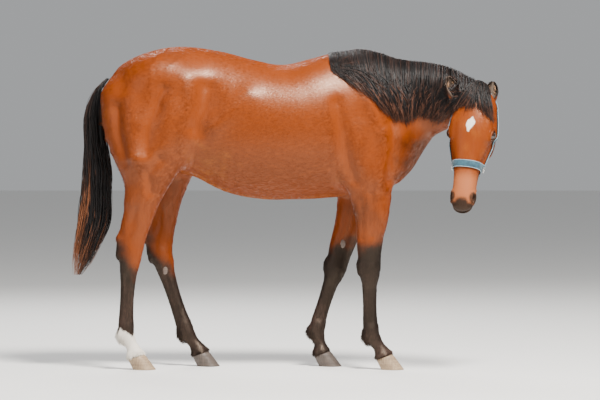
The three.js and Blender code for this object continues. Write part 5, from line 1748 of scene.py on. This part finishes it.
def build_coat(skin):
    roots = Roots(skin.data)
    centre = roots.centre
    on_head = head_share(centre)
    low = smooth(centre[:, 2], 660, 560)
    ears = in_head(centre)[:, 0] < 20
    trunk = (1 - on_head) * (1 - low)
    for part in (1, 2):
        tufts(f"Body coat {part}", roots.pick(trunk, 60000), long=21, wide=2.6, lift=0.9)
    tufts("Leg coat", roots.pick(low * (centre[:, 2] > 60), 52000), long=12, wide=1.8, lift=0.8)
    ring = near_joint(centre, -1, [0, 0, 6], 74) * (centre[:, 2] > 52) * (centre[:, 2] < 92)
    tufts("Coronet hair", roots.pick(ring, 5200), long=20, wide=2.0, lift=2.2)
    behind = near_joint(centre, -2, [-34, 0, -14], 38)
    tufts("Fetlock hair", roots.pick(behind, 1500), long=30, wide=2.0, lift=6.0)
    q = in_head(centre)
    jaw = on_head * smooth(q[:, 1], -150, -190) * (q[:, 0] > 60) * (q[:, 0] < 420)
    tufts("Jaw hair", roots.pick(jaw, 2600), long=13, wide=1.4, lift=1.6)
    face = on_head * ~ears * (q[:, 0] < 532)
    tufts("Head coat", roots.pick(face, 56000), long=8, wide=1.3, lift=0.5)


build_coat(build_skin())
for s in (RIGHT, LEFT):
    eyeball(s)
    ring_at(s)
    ear_hair(s)
for name in JOINTS:
    hoof(name)
    chestnut(name, *((0, 0.69) if name.startswith("fore") else (2, 0.24)))
mane()
forelock()
tail()
# each strap's name, its plane through two points, its width, its start and end in degrees about
# the head, its steps along, and the node that it replaces
for name, start, end, width, turns, steps, node in (
    ("Noseband", (NOSEBAND, -126), (NOSEBAND, -26), 29, (0, 360), 96, "noseband"),
    ("Cheek strap right", CHEEK_RING, CROWN, 22, (-166, -42), 48, "cheek_right"),
    ("Cheek strap left", CHEEK_RING, CROWN, 22, (42, 166), 48, "cheek_left"),
    ("Headpiece", CHEEK_RING, CROWN, 22, (-41.8, 41.8), 40, "crown"),
    ("Throat strap", (128, -118), JOWL, 19, (-128, 128), 72, "throat"),
):
    strap(name, start, end, width, turns, steps, [f"halter_{node}"])


# ---------------------------------------------------------------- stage
def floor_piece():
    bm = bmesh.new()
    bmesh.ops.create_grid(bm, x_segments=1, y_segments=1, size=40)
    mesh = mesh_of("Floor", bm)
    material, shader, _ = finish("Pale floor", Roughness=0.9)
    shader.inputs["Base Color"].default_value = (0.82, 0.81, 0.79, 1)
    mesh.materials.append(material)
    floor = bpy.data.objects.new("Floor", mesh)
    bpy.context.scene.collection.objects.link(floor)


def light(name, at, target, size, power, colour=(1, 1, 1)):
    lamp = bpy.data.lights.new(name, "AREA")
    lamp.shape = "DISK"
    lamp.size = size
    lamp.energy = power
    lamp.color = colour
    obj = bpy.data.objects.new(name, lamp)
    obj.location = at
    obj.rotation_euler = (Vector(target) - Vector(at)).to_track_quat("-Z", "Y").to_euler()
    bpy.context.scene.collection.objects.link(obj)


floor_piece()
light("Key", (1.9, -3.6, 6.4), (0.0, 0, 1.0), size=2.2, power=1500, colour=(1, 0.97, 0.92))
light("Fill", (-5.0, -5.0, 3.2), (0, 0, 0.8), size=4.0, power=80, colour=(0.95, 0.97, 1))
light("Rim", (-1.5, 4.5, 4.5), (0, 0, 1.0), size=3.0, power=260)
backdrop = bpy.data.worlds.new("Soft studio")
backdrop.use_nodes = True
backdrop.node_tree.nodes["Background"].inputs["Color"].default_value = (0.86, 0.88, 0.9, 1)
backdrop.node_tree.nodes["Background"].inputs["Strength"].default_value = 0.46
bpy.context.scene.world = backdrop

FRAME_WIDTH = 600  # pixels
FOCAL_LENGTH = 3330  # pixels
SENSOR = 36  # mm
lens = bpy.data.cameras.new("Camera")
lens.sensor_width = SENSOR
lens.lens = FOCAL_LENGTH / FRAME_WIDTH * SENSOR
lens.clip_end = 100
camera = bpy.data.objects.new("Camera", lens)
camera.location = (0.0651, -14.9234, 1.1)
aim = Vector((0.0651, 0.0766, 0.757))
camera.rotation_euler = (aim - camera.location).to_track_quat("-Z", "Y").to_euler()
bpy.context.scene.collection.objects.link(camera)
bpy.context.scene.camera = camera
